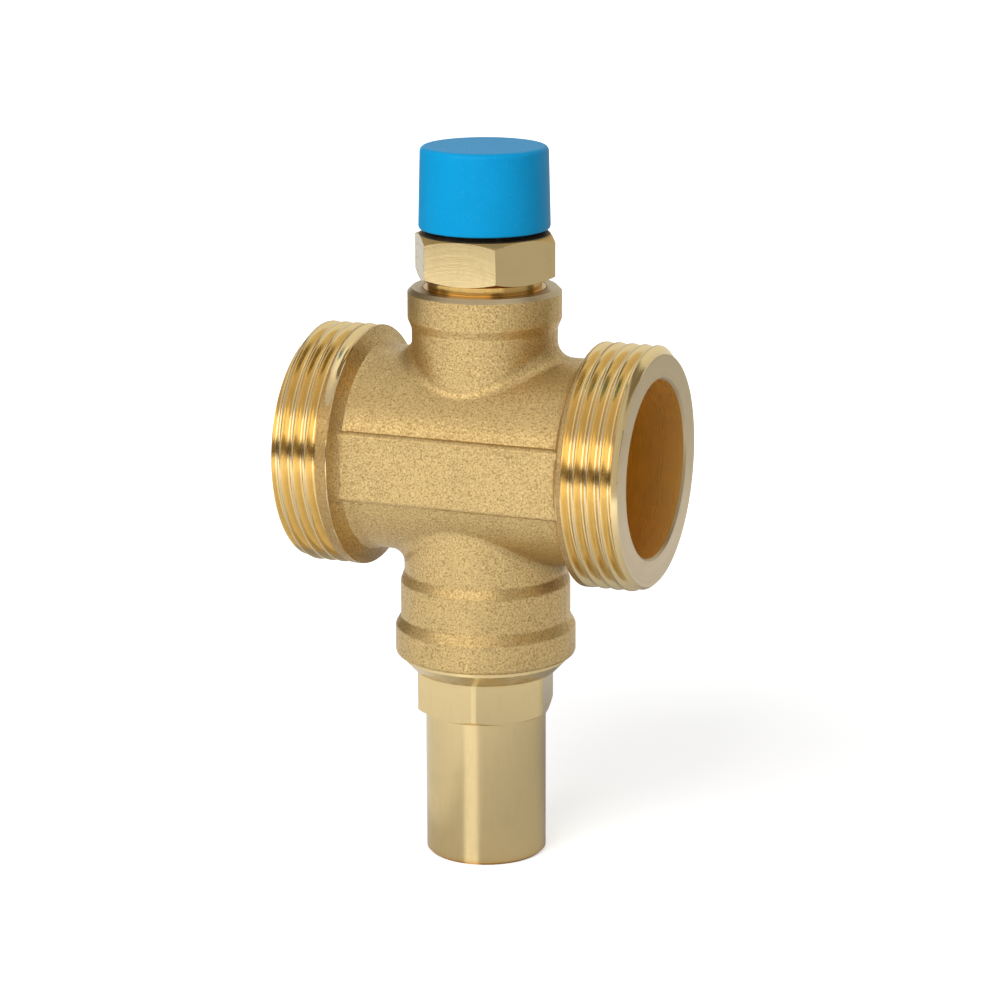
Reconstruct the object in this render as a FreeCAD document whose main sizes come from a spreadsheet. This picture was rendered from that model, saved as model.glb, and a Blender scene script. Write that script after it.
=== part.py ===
import FreeCAD, Part
import math
import os
import re
import Sketcher

# Anti-freeze valve for a heat-pump circuit: a cross-shaped brass body with two threaded ports on X,
# a vacuum breaker under a vented cap on top and a temperature-opened drain insert below.
# Millimetres, +Z up, the origin at the middle of the drain tube's end.

# Driving sizes: alias, value, meaning.
SIZES = [
    ("face_to_face", "62.5", "length between the two port faces"),
    ("port_thread_dia", "41.91", "outside diameter of the G 1 1/4 port thread"),
    ("port_length", "10.65", "length of a port from its inner edge to its face"),
    ("port_chamfer", "0.95", "chamfer on the outside of a port face"),
    ("pipe_bore", "30.5", "bore of the pipe run"),
    ("mouth_chamfer", "0.4", "chamfer at each end of the pipe run"),
    ("barrel_dia", "35.5", "outside of the forged barrel"),
    ("port_shoulder", "2.6", "length of the hollow curve between barrel and port"),
    ("upper_fillet", "3.0", "round between barrel and upper boss"),
    ("lower_fillet", "2.4", "round between barrel and lower boss"),
    ("panel_height", "12.2", "height of the flat panel on front and back"),
    ("panel_span", "36.0", "distance over the two flat panels"),
    ("panel_round", "0.9", "round along the panel edges"),
    ("upper_boss_height", "29.35", "pipe axis to the top face of the upper boss"),
    ("upper_collar_dia", "26.4", "collar of the upper boss"),
    ("upper_collar_height", "5.35", "straight part of the upper collar"),
    ("upper_step", "1.7", "cone under the upper collar"),
    ("upper_neck_dia", "25.0", "neck of the upper boss"),
    ("upper_chamfer", "0.75", "chamfer on the top rim of the upper boss"),
    ("lower_chamfer", "0.4", "chamfer on the end of the lower boss"),
    ("lower_boss_depth", "35.2", "pipe axis to the end of the lower boss"),
    ("lower_collar_dia", "31.4", "collar of the lower boss"),
    ("lower_collar_height", "5.1", "straight part of the lower collar"),
    ("lower_step", "1.7", "cone above the lower collar"),
    ("lower_neck_dia", "29.5", "neck of the lower boss"),
    ("lower_neck_height", "6.2", "straight part of the lower neck"),
    ("root_step", "1.8", "cone above the lower neck"),
    ("lower_root_dia", "28.2", "top of the lower boss, where it leaves the barrel"),
    ("upper_thread_dia", "20.955", "G 1/2 thread of the vacuum breaker"),
    ("upper_thread_depth", "7.35", "depth of the thread in the upper boss"),
    ("upper_seal_bore", "18.6", "smooth bore under the upper thread"),
    ("upper_seal_depth", "3.6", "length of the upper smooth bore"),
    ("air_passage", "16.0", "hole from the upper boss into the pipe"),
    ("lower_thread_dia", "26.441", "G 3/4 thread of the drain insert"),
    ("lower_thread_depth", "10.7", "depth of the thread in the lower boss"),
    ("lower_seal_bore", "24.1", "smooth bore above the lower thread"),
    ("lower_seal_depth", "3.5", "length of the lower smooth bore"),
    ("drain_passage", "21.0", "hole from the pipe into the lower boss"),
    ("bore_lead", "0.25", "lead-in chamfer of both threaded bores"),
    ("thread_gap", "0.8", "free length at the end of each thread"),
    ("nose_gap", "0.3", "end gap between an insert and the step in the body"),
    ("nose_clearance", "0.15", "radial gap between an insert's nose and its smooth bore"),
    ("ring_section", "1.6", "section of both O-rings"),
    ("groove_room", "0.5", "spare width of an O-ring groove"),
    ("groove_lip", "0.9", "nose material beyond an O-ring groove"),
    ("plug_neck_dia", "19.6", "neck between the upper boss and the breaker's hexagon"),
    ("plug_neck_height", "1.6", "visible height of that neck"),
    ("plug_flats", "22.3", "hexagon of the vacuum breaker, across flats"),
    ("plug_hex_height", "7.55", "height of that hexagon"),
    ("plug_turn", "59.8", "turn of that hexagon about Z, in degrees"),
    ("hex_chamfer", "0.05", "turned ring inside the flats of the breaker's hexagon"),
    ("cap_spigot_dia", "16.8", "neck that carries the vent cap"),
    ("cap_spigot_height", "9.5", "length of that neck above the hexagon"),
    ("snap_depth", "0.4", "depth of the cap's snap groove"),
    ("snap_width", "1.2", "width of the cap's snap groove"),
    ("snap_drop", "2.0", "material above the snap groove"),
    ("snap_play", "0.1", "play of the cap's bead in its groove"),
    ("breaker_bore", "10.8", "air bore through the breaker"),
    ("spring_room", "13.2", "spring chamber in the top of the breaker"),
    ("web_inset", "2.05", "underside of the hexagon to the top of the guide web"),
    ("web_thickness", "3.0", "thickness of the guide web"),
    ("air_hole", "2.2", "air holes in the guide web"),
    ("air_hole_count", "6", "number of air holes"),
    ("vent_gap", "0.9", "air gap between the hexagon and the cap's rim"),
    ("cap_dia", "22.5", "vent cap at its rim"),
    ("cap_top_dia", "21.8", "vent cap at its top"),
    ("cap_wall", "1.3", "side wall of the vent cap"),
    ("cap_roof", "1.6", "roof of the vent cap"),
    ("cap_headroom", "3.8", "space between the breaker and the cap's roof"),
    ("cap_round", "0.9", "round at the cap's top edge"),
    ("cap_rib_count", "6", "ribs inside the vent cap"),
    ("cap_rib_angle", "11", "angle that one rib takes, in degrees"),
    ("rib_start", "1.0", "rim of the cap to the start of its ribs"),
    ("rib_ledge", "1.4", "width of the ledge that sits on the breaker"),
    ("stem_dia", "3.0", "stem of the breaker poppet"),
    ("running_clearance", "0.05", "radial clearance of a sliding stem"),
    ("poppet_gap", "1.1", "radial gap round the poppet in the air passage"),
    ("poppet_thickness", "2.0", "thickness of the poppet's disc"),
    ("poppet_seal_thickness", "0.9", "thickness of the poppet's seal"),
    ("clip_groove", "0.4", "depth of the clip groove in the stem"),
    ("clip_thickness", "0.8", "thickness of the spring clip"),
    ("clip_rim", "0.45", "clip beyond the outside of the spring"),
    ("stem_tail", "1.2", "stem above the clip"),
    ("breaker_spring_dia", "8.8", "breaker spring, mean diameter"),
    ("breaker_spring_wire", "0.7", "breaker spring, wire"),
    ("breaker_spring_length", "10.2", "breaker spring, length as fitted"),
    ("breaker_spring_turns", "5", "breaker spring, turns"),
    ("tube_dia", "21.0", "outside of the drain tube"),
    ("tube_length", "25.8", "drain tube below the hexagon"),
    ("tube_bore", "17.0", "bore of the drain tube"),
    ("tube_chamfer", "0.5", "chamfers at the end of the drain tube"),
    ("drain_flats", "22.0", "hexagon of the drain insert, across flats"),
    ("drain_corner_dia", "24.9", "turned corners of that hexagon"),
    ("drain_hex_height", "7.5", "height of that hexagon"),
    ("drain_turn", "42.0", "turn of that hexagon about Z, in degrees"),
    ("cone_height", "2.2", "cone between the hexagon and the insert's rim"),
    ("rim_height", "0.7", "rim of the drain insert"),
    ("rim_dia", "29.0", "diameter of that rim"),
    ("chamber_dia", "18.0", "valve chamber in the drain insert"),
    ("chamber_depth", "5.6", "depth of that chamber"),
    ("seat_bore", "10.0", "bore of the drain seat"),
    ("seat_wall", "1.2", "width of the raised seat"),
    ("seat_height", "0.8", "height of the raised seat"),
    ("seat_bore_depth", "3.8", "length of the seat bore"),
    ("spring_bore", "12.4", "bore under the seat that holds the spring seat"),
    ("spring_seat_thickness", "1.5", "thickness of the spring seat"),
    ("spring_seat_gap", "0.1", "radial gap round the spring seat"),
    ("drain_notch_dia", "2.4", "drain notches in the rim of the spring seat"),
    ("drain_notch_count", "6", "number of those notches"),
    ("ring_thickness", "0.8", "thickness of the retaining ring"),
    ("ring_bite", "0.5", "depth of the retaining ring in its groove"),
    ("ring_width", "1.5", "radial width of the retaining ring"),
    ("ring_opening", "40", "open angle of the retaining ring, in degrees"),
    ("ring_play", "0.1", "play of the retaining ring in its groove"),
    ("ring_shoulder", "1.5", "material below the retaining ring's groove"),
    ("shutter_gap", "0.9", "radial gap round the shutter in the cage"),
    ("shutter_thickness", "3.0", "thickness of the shutter's disc"),
    ("shutter_hub_dia", "6.0", "hub on top of the shutter"),
    ("shutter_hub_height", "3.1", "height of that hub"),
    ("socket_depth", "2.5", "depth of the piston's socket in the hub"),
    ("seal_overlap", "0.2", "shutter seal beyond each edge of the seat"),
    ("shutter_seal_thickness", "1.2", "thickness of the shutter seal"),
    ("shutter_seal_recess", "0.6", "depth of the seal's recess in the shutter"),
    ("spring_recess", "1.2", "depth of the spring's recess in the shutter"),
    ("spring_clearance", "0.35", "radial gap between a spring and what it surrounds"),
    ("seat_spring_gap", "1.05", "radial gap between the opening spring and the seat bore"),
    ("opening_spring_wire", "0.7", "opening spring, wire"),
    ("opening_spring_length", "13.0", "opening spring, length as fitted"),
    ("opening_spring_turns", "6", "opening spring, turns"),
    ("drain_stroke", "3.0", "lift of the shutter when it opens"),
    ("ledge_drop", "4.6", "pipe axis down to the ledge that carries the wax element"),
    ("ledge_thickness", "1.2", "thickness of that ledge"),
    ("ledge_gap", "1.2", "radial gap between the ledge and the piston guide"),
    ("cage_wall", "1.3", "wall of the element cage"),
    ("cage_spigot", "1.2", "depth of the cage in the drain insert"),
    ("cage_flange", "1.2", "thickness of the cage's flange"),
    ("cage_passage_gap", "0.4", "radial gap between the cage's flange and the drain passage"),
    ("cage_clearance", "0.75", "gap between the cage's top rim and the pipe bore"),
    ("cage_window", "11.0", "width of a cage window"),
    ("cage_window_count", "3", "number of windows round the cage"),
    ("cage_band", "0.9", "material above and below each window"),
    ("rolled_rim", "0.8", "width of the rim rolled over the cage cap"),
    ("rolled_rim_height", "1.2", "height of that rim"),
    ("cage_cap_thickness", "1.2", "thickness of the cage cap"),
    ("cage_cap_gap", "0.1", "radial gap round the cage cap"),
    ("piston_dia", "3.2", "piston of the wax element"),
    ("piston_top_drop", "2.4", "top of the piston below the ledge"),
    ("guide_dia", "6.0", "neck of the piston guide"),
    ("guide_drop", "9.4", "piston guide below the ledge"),
    ("guide_collar_dia", "12.4", "collar of the piston guide"),
    ("guide_collar_height", "2.0", "height of that collar"),
    ("guide_end_gap", "0.9", "bore of the guide beyond the piston's stroke"),
    ("crimp_wall", "0.7", "crimped edge of the capsule round the collar"),
    ("crimp_lip", "0.6", "crimped lip under the collar"),
    ("capsule_dia", "10.4", "wax capsule"),
    ("capsule_height", "11.6", "ledge to the top of the capsule"),
    ("capsule_chamfer", "1.0", "chamfer at the top of the capsule"),
    ("overtravel_spring_wire", "0.9", "overtravel spring, wire"),
    ("overtravel_spring_turns", "4", "overtravel spring, turns"),
]

# Angles of the turned chamfers on the ends of the two hexagons, in degrees.
PLUG_CHAMFER_ANGLE = 25
DRAIN_CHAMFER_ANGLE = 30
# Half of the angle that one side of an octagon takes, in degrees.
OCTAGON_HALF_ANGLE = 22.5
# Spare reach of a cut beyond the material that it removes.
CUT_SPARE = 1
# Straight wall that stays beside a round, so that a wider barrel still leaves room for it.
ROUND_SPARE = 0.1
# Where the hollow curve behind a port has its corners, in degrees from the port's edge.
SHOULDER_ANGLES = (0, 30, 60, 90)

# Heights in the row's own frame, as formulas on the sheet.
HEX_FLOOR = "tube_length"
HEX_CEILING = f"({HEX_FLOOR} + drain_hex_height)"
RIM_FLOOR = f"({HEX_CEILING} + cone_height)"
BOSS_END = f"({RIM_FLOOR} + rim_height)"
AXIS = f"({BOSS_END} + lower_boss_depth)"
BOSS_TOP = f"({AXIS} + upper_boss_height)"

# The drain insert and what it carries.
LOWER_THREAD_END = f"({BOSS_END} + lower_thread_depth)"
LOWER_SEAL_END = f"({LOWER_THREAD_END} + lower_seal_depth)"
INSERT_TOP = f"({LOWER_SEAL_END} - nose_gap)"
LOWER_GROOVE_TOP = f"({INSERT_TOP} - groove_lip)"
GROOVE_WIDTH = "(ring_section + groove_room)"
CHAMBER_FLOOR = f"({INSERT_TOP} - chamber_depth)"
SEAT = f"({CHAMBER_FLOOR} + seat_height)"
SHUTTER_FLOOR = f"({SEAT} + shutter_seal_thickness - shutter_seal_recess)"
SHUTTER_TOP = f"({SHUTTER_FLOOR} + shutter_thickness)"
HUB_TOP = f"({SHUTTER_TOP} + shutter_hub_height)"
SOCKET_FLOOR = f"({HUB_TOP} - socket_depth)"
OPENING_SPRING_TOP = f"({SHUTTER_FLOOR} + spring_recess)"
SPRING_SEAT_TOP = f"({OPENING_SPRING_TOP} - opening_spring_length)"
RING_TOP = f"({SPRING_SEAT_TOP} - spring_seat_thickness)"
RING_GROOVE_FLOOR = f"({RING_TOP} - ring_thickness - ring_play)"
SPRING_BORE_FLOOR = f"({RING_GROOVE_FLOOR} - ring_shoulder)"
SPRING_BORE_TOP = f"({SEAT} - seat_bore_depth)"
OPENING_SPRING_DIA = "(seat_bore - 2 * seat_spring_gap - opening_spring_wire)"
CHAMBER_RADIUS = "(chamber_dia / 2)"
CAGE_INSIDE = f"({CHAMBER_RADIUS} - cage_wall)"
SHUTTER_RADIUS = f"({CAGE_INSIDE} - shutter_gap)"

# The wax element and its cage.
LEDGE = f"({AXIS} - ledge_drop)"
PISTON_TOP = f"({LEDGE} - piston_top_drop)"
COLLAR_FLOOR = f"({LEDGE} + crimp_lip)"
COLLAR_TOP = f"({COLLAR_FLOOR} + guide_collar_height)"
CRIMP_TOP = f"({COLLAR_TOP} + crimp_lip)"
CRIMP_RADIUS = "(guide_collar_dia / 2 + crimp_wall)"
CAPSULE_TOP = f"({LEDGE} + capsule_height)"
CAGE_TOP = f"({AXIS} + sqrt((pipe_bore / 2 - cage_clearance) ^ 2 - {CHAMBER_RADIUS} ^ 2))"
CAGE_CAP_TOP = f"({CAGE_TOP} - rolled_rim_height)"
CAGE_CAP_FLOOR = f"({CAGE_CAP_TOP} - cage_cap_thickness)"
OVERTRAVEL_SPRING_DIA = "(capsule_dia + 2 * spring_clearance + overtravel_spring_wire)"

# The vacuum breaker and what it carries.
UPPER_THREAD_END = f"({BOSS_TOP} - upper_thread_depth)"
UPPER_SEAL_END = f"({UPPER_THREAD_END} - upper_seal_depth)"
NOSE_FLOOR = f"({UPPER_SEAL_END} + nose_gap)"
UPPER_GROOVE_FLOOR = f"({NOSE_FLOOR} + groove_lip)"
PLUG_HEX_FLOOR = f"({BOSS_TOP} + plug_neck_height)"
PLUG_HEX_TOP = f"({PLUG_HEX_FLOOR} + plug_hex_height)"
SPIGOT_TOP = f"({PLUG_HEX_TOP} + cap_spigot_height)"
SNAP_TOP = f"({SPIGOT_TOP} - snap_drop)"
SNAP_FLOOR = f"({SNAP_TOP} - snap_width)"
WEB_TOP = f"({PLUG_HEX_FLOOR} + web_inset)"
WEB_FLOOR = f"({WEB_TOP} - web_thickness)"
CLIP_FLOOR = f"({WEB_TOP} + breaker_spring_length)"
CLIP_TOP = f"({CLIP_FLOOR} + clip_thickness)"
POPPET_TOP = f"({NOSE_FLOOR} - poppet_seal_thickness)"
POPPET_RADIUS = "(air_passage / 2 - poppet_gap)"
CAP_RIM = f"({PLUG_HEX_TOP} + vent_gap)"
CAP_CEILING = f"({SPIGOT_TOP} + cap_headroom)"
CAP_TOP = f"({CAP_CEILING} + cap_roof)"

doc = FreeCAD.newDocument("anti_freeze_valve")
sheet = doc.addObject("Spreadsheet::Sheet", "sizes")
for row, (alias, number, meaning) in enumerate(SIZES, start=1):
    sheet.set(f"A{row}", meaning)
    sheet.set(f"B{row}", number)
    sheet.setAlias(f"B{row}", alias)
doc.recompute()


def on_sheet(formula):
    """Turn a formula on the aliases into an expression of the document."""
    return re.sub(r"[a-z_]+\b(?!\()", r"sizes.\g<0>", formula)


def value(formula):
    """Present value of a formula on the aliases."""
    return float(sheet.evalExpression(on_sheet(formula)))


def bind(thing, **formulas):
    """Tie properties of an object to formulas; two underscores stand for a dot."""
    for name, formula in formulas.items():
        thing.setExpression(name.replace("__", "."), on_sheet(formula))


def new_body(label):
    """Start a sub-part."""
    body = doc.addObject("PartDesign::Body", label)
    body.Label = label
    return body


def origin_feature(body, role):
    """A plane or axis of the body's own origin."""
    return next(feature for feature in body.Origin.OriginFeatures if feature.Role == role)


def new_sketch(body, name, plane="XZ_Plane", shift=("0", "0", "0")):
    """A sketch on an origin plane, moved along the plane's own axes."""
    sketch = body.newObject("Sketcher::SketchObject", name)
    sketch.AttachmentSupport = [(origin_feature(body, plane), "")]
    sketch.MapMode = "FlatFace"
    for axis, formula in zip("xyz", shift):
        bind(sketch, **{f"AttachmentOffset__Base__{axis}": formula})
    return sketch


def fix_point(sketch, geometry, end, across, up):
    """Hold a point at two formulas from the sketch's origin."""
    for kind, formula, axis in (("DistanceX", across, -2), ("DistanceY", up, -1)):
        if formula == "0":
            sketch.addConstraint(Sketcher.Constraint("PointOnObject", geometry, end, axis))
            continue
        number = sketch.addConstraint(Sketcher.Constraint(kind, -1, 1, geometry, end, value(formula)))
        sketch.setExpression(f"Constraints[{number}]", on_sheet(formula))


def add_outline(sketch, points):
    """Add a closed outline of straight lines to a sketch, each corner held by its two formulas."""
    corners = [FreeCAD.Vector(value(across), value(up), 0) for across, up in points]
    first = sketch.GeometryCount
    count = len(points)
    for number, corner in enumerate(corners):
        sketch.addGeometry(Part.LineSegment(corner, corners[(number + 1) % count]), False)
    for number in range(count):
        following = first + (number + 1) % count
        sketch.addConstraint(Sketcher.Constraint("Coincident", first + number, 2, following, 1))
    for number, (across, up) in enumerate(points):
        fix_point(sketch, first + number, 1, across, up)


def add_rounded_rectangle(sketch, low, high, width, radius):
    """Add a rectangle with rounded corners, even about the sketch's upright axis."""
    side = f"({width} / 2)"
    side_end = f"({width} / 2 - {radius})"
    low_end = f"({low} + {radius})"
    high_end = f"({high} - {radius})"
    lines = [
        ((f"-{side_end}", low), (side_end, low)), ((side, low_end), (side, high_end)),
        ((side_end, high), (f"-{side_end}", high)), ((f"-{side}", high_end), (f"-{side}", low_end)),
    ]
    centres = [
        (side_end, low_end), (side_end, high_end), (f"-{side_end}", high_end), (f"-{side_end}", low_end),
    ]
    for number, (start, end) in enumerate(lines):
        ends = [FreeCAD.Vector(value(across), value(up), 0) for across, up in (start, end)]
        sketch.addGeometry(Part.LineSegment(*ends), False)
        fix_point(sketch, number, 1, *start)
        fix_point(sketch, number, 2, *end)
    for number, (across, up) in enumerate(centres):
        centre = FreeCAD.Vector(value(across), value(up), 0)
        circle = Part.Circle(centre, FreeCAD.Vector(0, 0, 1), value(radius))
        quarter = math.pi / 2
        arc = sketch.addGeometry(Part.ArcOfCircle(circle, (number - 1) * quarter, number * quarter), False)
        sketch.addConstraint(Sketcher.Constraint("Coincident", number, 2, arc, 1))
        sketch.addConstraint(Sketcher.Constraint("Coincident", arc, 2, (number + 1) % len(lines), 1))
        held = sketch.addConstraint(Sketcher.Constraint("Radius", arc, value(radius)))
        sketch.setExpression(f"Constraints[{held}]", on_sheet(radius))


def add_circle(sketch, across, up, diameter):
    """Add a circle to a sketch."""
    centre = FreeCAD.Vector(value(across), value(up), 0)
    radius = value(f"({diameter}) / 2")
    number = sketch.addGeometry(Part.Circle(centre, FreeCAD.Vector(0, 0, 1), radius), False)
    fix_point(sketch, number, 3, across, up)
    held = sketch.addConstraint(Sketcher.Constraint("Radius", number, radius))
    sketch.setExpression(f"Constraints[{held}]", on_sheet(f"({diameter}) / 2"))


def turn(body, name, points, axis="V_Axis", shift=("0", "0", "0"), angle="360"):
    """Revolve an outline on the XZ plane."""
    sketch = new_sketch(body, f"{name}_outline", shift=shift)
    add_outline(sketch, points)
    feature = body.newObject("PartDesign::Revolution", name)
    feature.Profile = sketch
    feature.ReferenceAxis = (sketch, [axis])
    feature.Midplane = True
    bind(feature, Angle=angle)
    return feature


def check_cut(body, feature, volume):
    """Recompute and make sure that a cut has removed material."""
    doc.recompute()
    if feature.Shape.Volume >= volume:
        raise RuntimeError(f"{feature.Label} of {body.Label} cuts nothing")
    return feature


def groove(body, name, points, axis="V_Axis", shift=("0", "0", "0")):
    """Cut a revolved outline out of a body."""
    doc.recompute()
    volume = body.Shape.Volume
    sketch = new_sketch(body, f"{name}_outline", shift=shift)
    add_outline(sketch, points)
    feature = body.newObject("PartDesign::Groove", name)
    feature.Profile = sketch
    feature.ReferenceAxis = (sketch, [axis])
    feature.Angle = 360
    return check_cut(body, feature, volume)


def pocket(body, name, sketch, length):
    """Cut a sketch out of a body, away from the sketch's normal."""
    doc.recompute()
    volume = body.Shape.Volume
    feature = body.newObject("PartDesign::Pocket", name)
    feature.Profile = sketch
    bind(feature, Length=length)
    return check_cut(body, feature, volume)


def round_about(body, name, original, count):
    """Repeat a feature about the Z axis."""
    pattern = body.newObject("PartDesign::PolarPattern", name)
    pattern.Originals = [original]
    pattern.Axis = (origin_feature(body, "Z_Axis"), [""])
    pattern.Angle = 360
    bind(pattern, Occurrences=count)
    body.Tip = pattern
    return pattern


def edges_where(feature, test):
    """Names of the edges whose points all pass a test."""
    doc.recompute()
    names = []
    for number, edge in enumerate(feature.Shape.Edges, start=1):
        if all(test(point) for point in edge.discretize(9)):
            names.append(f"Edge{number}")
    if not names:
        raise RuntimeError(f"{feature.Label} has no edge to dress")
    return names


def fillet(body, name, base, test, radius):
    """Round the edges that pass a test."""
    feature = body.newObject("PartDesign::Fillet", name)
    feature.Base = (base, edges_where(base, test))
    bind(feature, Radius=radius)
    return feature


def near(one, other):
    """Two lengths are the same."""
    return abs(one - other) < 1e-3


def o_ring(label, seal_bore, middle):
    """An O-ring, squeezed flat where it meets its groove and its smooth bore."""
    body = new_body(label)
    outside = f"{seal_bore} / 2"
    flat = f"(ring_section / 2 * tan({OCTAGON_HALF_ANGLE}))"
    half = "(ring_section / 2)"
    centre = f"({outside} - {half})"
    corners = [(half, flat), (flat, half)]
    points = []
    for across_sign, up_sign, order in (("+", "+", 1), ("-", "+", -1), ("-", "-", 1), ("+", "-", -1)):
        for across, up in corners[::order]:
            points.append((f"{centre} {across_sign} {across}", f"{middle} {up_sign} {up}"))
    turn(body, f"{label}_ring", points)
    return body


def coil_spring(label, diameter, wire, turns, floor, top):
    """A wire wound between two seats; its section is drawn as a hexagon."""
    body = new_body(label)
    sketch = new_sketch(body, f"{label}_wire")
    points = []
    for corner in range(6):
        angle = 30 + 60 * corner
        points.append((f"{diameter} / 2 + {wire} / 2 * cos({angle})",
                       f"{floor} + {wire} / 2 + {wire} / 2 * sin({angle})"))
    add_outline(sketch, points)
    coil = body.newObject("PartDesign::AdditiveHelix", f"{label}_coil")
    coil.Profile = sketch
    coil.ReferenceAxis = (sketch, ["V_Axis"])
    coil.Mode = "height-turns-angle"
    bind(coil, Height=f"{top} - {floor} - {wire}", Turns=turns)
    return body


def hexagon(body, name, flats, height, floor, angle):
    """Add an upright hexagonal prism."""
    prism = body.newObject("PartDesign::AdditivePrism", name)
    prism.Polygon = 6
    bind(prism, Circumradius=f"{flats} / 2 / cos(30)", Height=height,
         Placement__Base__z=floor, Placement__Rotation__Angle=angle)
    prism.Placement.Rotation.Axis = FreeCAD.Vector(0, 0, 1)
    return prism


def hex_end_cut(body, name, flats, start, angle, end, direction):
    """Turn the chamfer on one end of a hexagon from a start radius; direction points out of that end."""
    reach = f"({flats} / 2 / cos(30) + {CUT_SPARE})"
    drop = f"({reach} - {start}) * tan({angle})"
    back = f"{end} - {drop}" if direction > 0 else f"{end} + {drop}"
    return groove(body, name, [(start, end), (reach, end), (reach, back)])


def make_valve_body():
    """The forged and machined body."""
    body = new_body("valve_body")
    left_end = ("-face_to_face / 2", AXIS, "0")
    thread = "port_thread_dia / 2"
    barrel = "barrel_dia / 2"
    face = f"{thread} - port_chamfer"
    left_half = [("0", "0"), ("0", face), ("port_chamfer", thread)]
    for angle in SHOULDER_ANGLES:
        along = f"port_length + port_shoulder * (1 - cos({angle}))"
        left_half.append((along, f"{thread} - ({thread} - {barrel}) * sin({angle})"))
    right_half = [(f"face_to_face - ({along})", radius) for along, radius in reversed(left_half)]
    turn(body, "pipe_run", left_half + right_half, axis="H_Axis", shift=left_end)

    axis = value(AXIS)
    barrel_radius = value(barrel)
    collar_top = f"{BOSS_TOP} - upper_collar_height"
    collar_end = f"{BOSS_END} + lower_collar_height"
    neck_end = f"{collar_end} + lower_step + lower_neck_height"
    bosses = turn(body, "bosses", [
        ("0", BOSS_END), ("lower_collar_dia / 2 - lower_chamfer", BOSS_END),
        ("lower_collar_dia / 2", f"{BOSS_END} + lower_chamfer"), ("lower_collar_dia / 2", collar_end),
        ("lower_neck_dia / 2", f"{collar_end} + lower_step"), ("lower_neck_dia / 2", neck_end),
        ("lower_root_dia / 2", f"{neck_end} + root_step"), ("lower_root_dia / 2", AXIS),
        ("upper_neck_dia / 2", AXIS), ("upper_neck_dia / 2", f"{collar_top} - upper_step"),
        ("upper_collar_dia / 2", collar_top), ("upper_collar_dia / 2", f"{BOSS_TOP} - upper_chamfer"),
        ("upper_collar_dia / 2 - upper_chamfer", BOSS_TOP), ("0", BOSS_TOP),
    ])
    rounded = bosses
    upper_wall = f"{collar_top} - upper_step - {AXIS} - {barrel}"
    lower_wall = f"{AXIS} - {barrel} - ({neck_end} + root_step)"
    for name, diameter, radius, wall in (("upper_boss_round", "upper_neck_dia", "upper_fillet", upper_wall),
                                         ("lower_boss_round", "lower_root_dia", "lower_fillet", lower_wall)):
        boss_radius = value(f"{diameter} / 2")

        def at_saddle(point):
            on_barrel = near(math.hypot(point.y, point.z - axis), barrel_radius)
            return on_barrel and near(math.hypot(point.x, point.y), boss_radius)

        rounded = fillet(body, name, rounded, at_saddle, f"min({radius}; {wall} - {ROUND_SPARE})")
    low = f"{AXIS} - panel_height / 2"
    high = f"{AXIS} + panel_height / 2"
    panel = new_sketch(body, "panel_section", plane="YZ_Plane")
    add_rounded_rectangle(panel, low, high, "panel_span", "panel_round")
    panels = body.newObject("PartDesign::Pad", "panels")
    panels.Profile = panel
    panels.SideType = "Symmetric"
    bind(panels, Length="face_to_face - 2 * port_length")
    bore = "pipe_bore / 2"
    mouth = f"{bore} + mouth_chamfer"
    groove(body, "pipe_run_bore", [
        ("0", "0"), ("0", mouth), ("mouth_chamfer", bore), ("face_to_face - mouth_chamfer", bore),
        ("face_to_face", mouth), ("face_to_face", "0"),
    ], axis="H_Axis", shift=left_end)
    groove(body, "boss_bores", [
        ("0", BOSS_END), ("lower_thread_dia / 2 + bore_lead", BOSS_END),
        ("lower_thread_dia / 2", f"{BOSS_END} + bore_lead"), ("lower_thread_dia / 2", LOWER_THREAD_END),
        ("lower_seal_bore / 2", LOWER_THREAD_END), ("lower_seal_bore / 2", LOWER_SEAL_END),
        ("drain_passage / 2", LOWER_SEAL_END), ("drain_passage / 2", AXIS),
        ("air_passage / 2", AXIS), ("air_passage / 2", UPPER_SEAL_END),
        ("upper_seal_bore / 2", UPPER_SEAL_END), ("upper_seal_bore / 2", UPPER_THREAD_END),
        ("upper_thread_dia / 2", UPPER_THREAD_END), ("upper_thread_dia / 2", f"{BOSS_TOP} - bore_lead"),
        ("upper_thread_dia / 2 + bore_lead", BOSS_TOP), ("0", BOSS_TOP),
    ])
    return body


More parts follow.
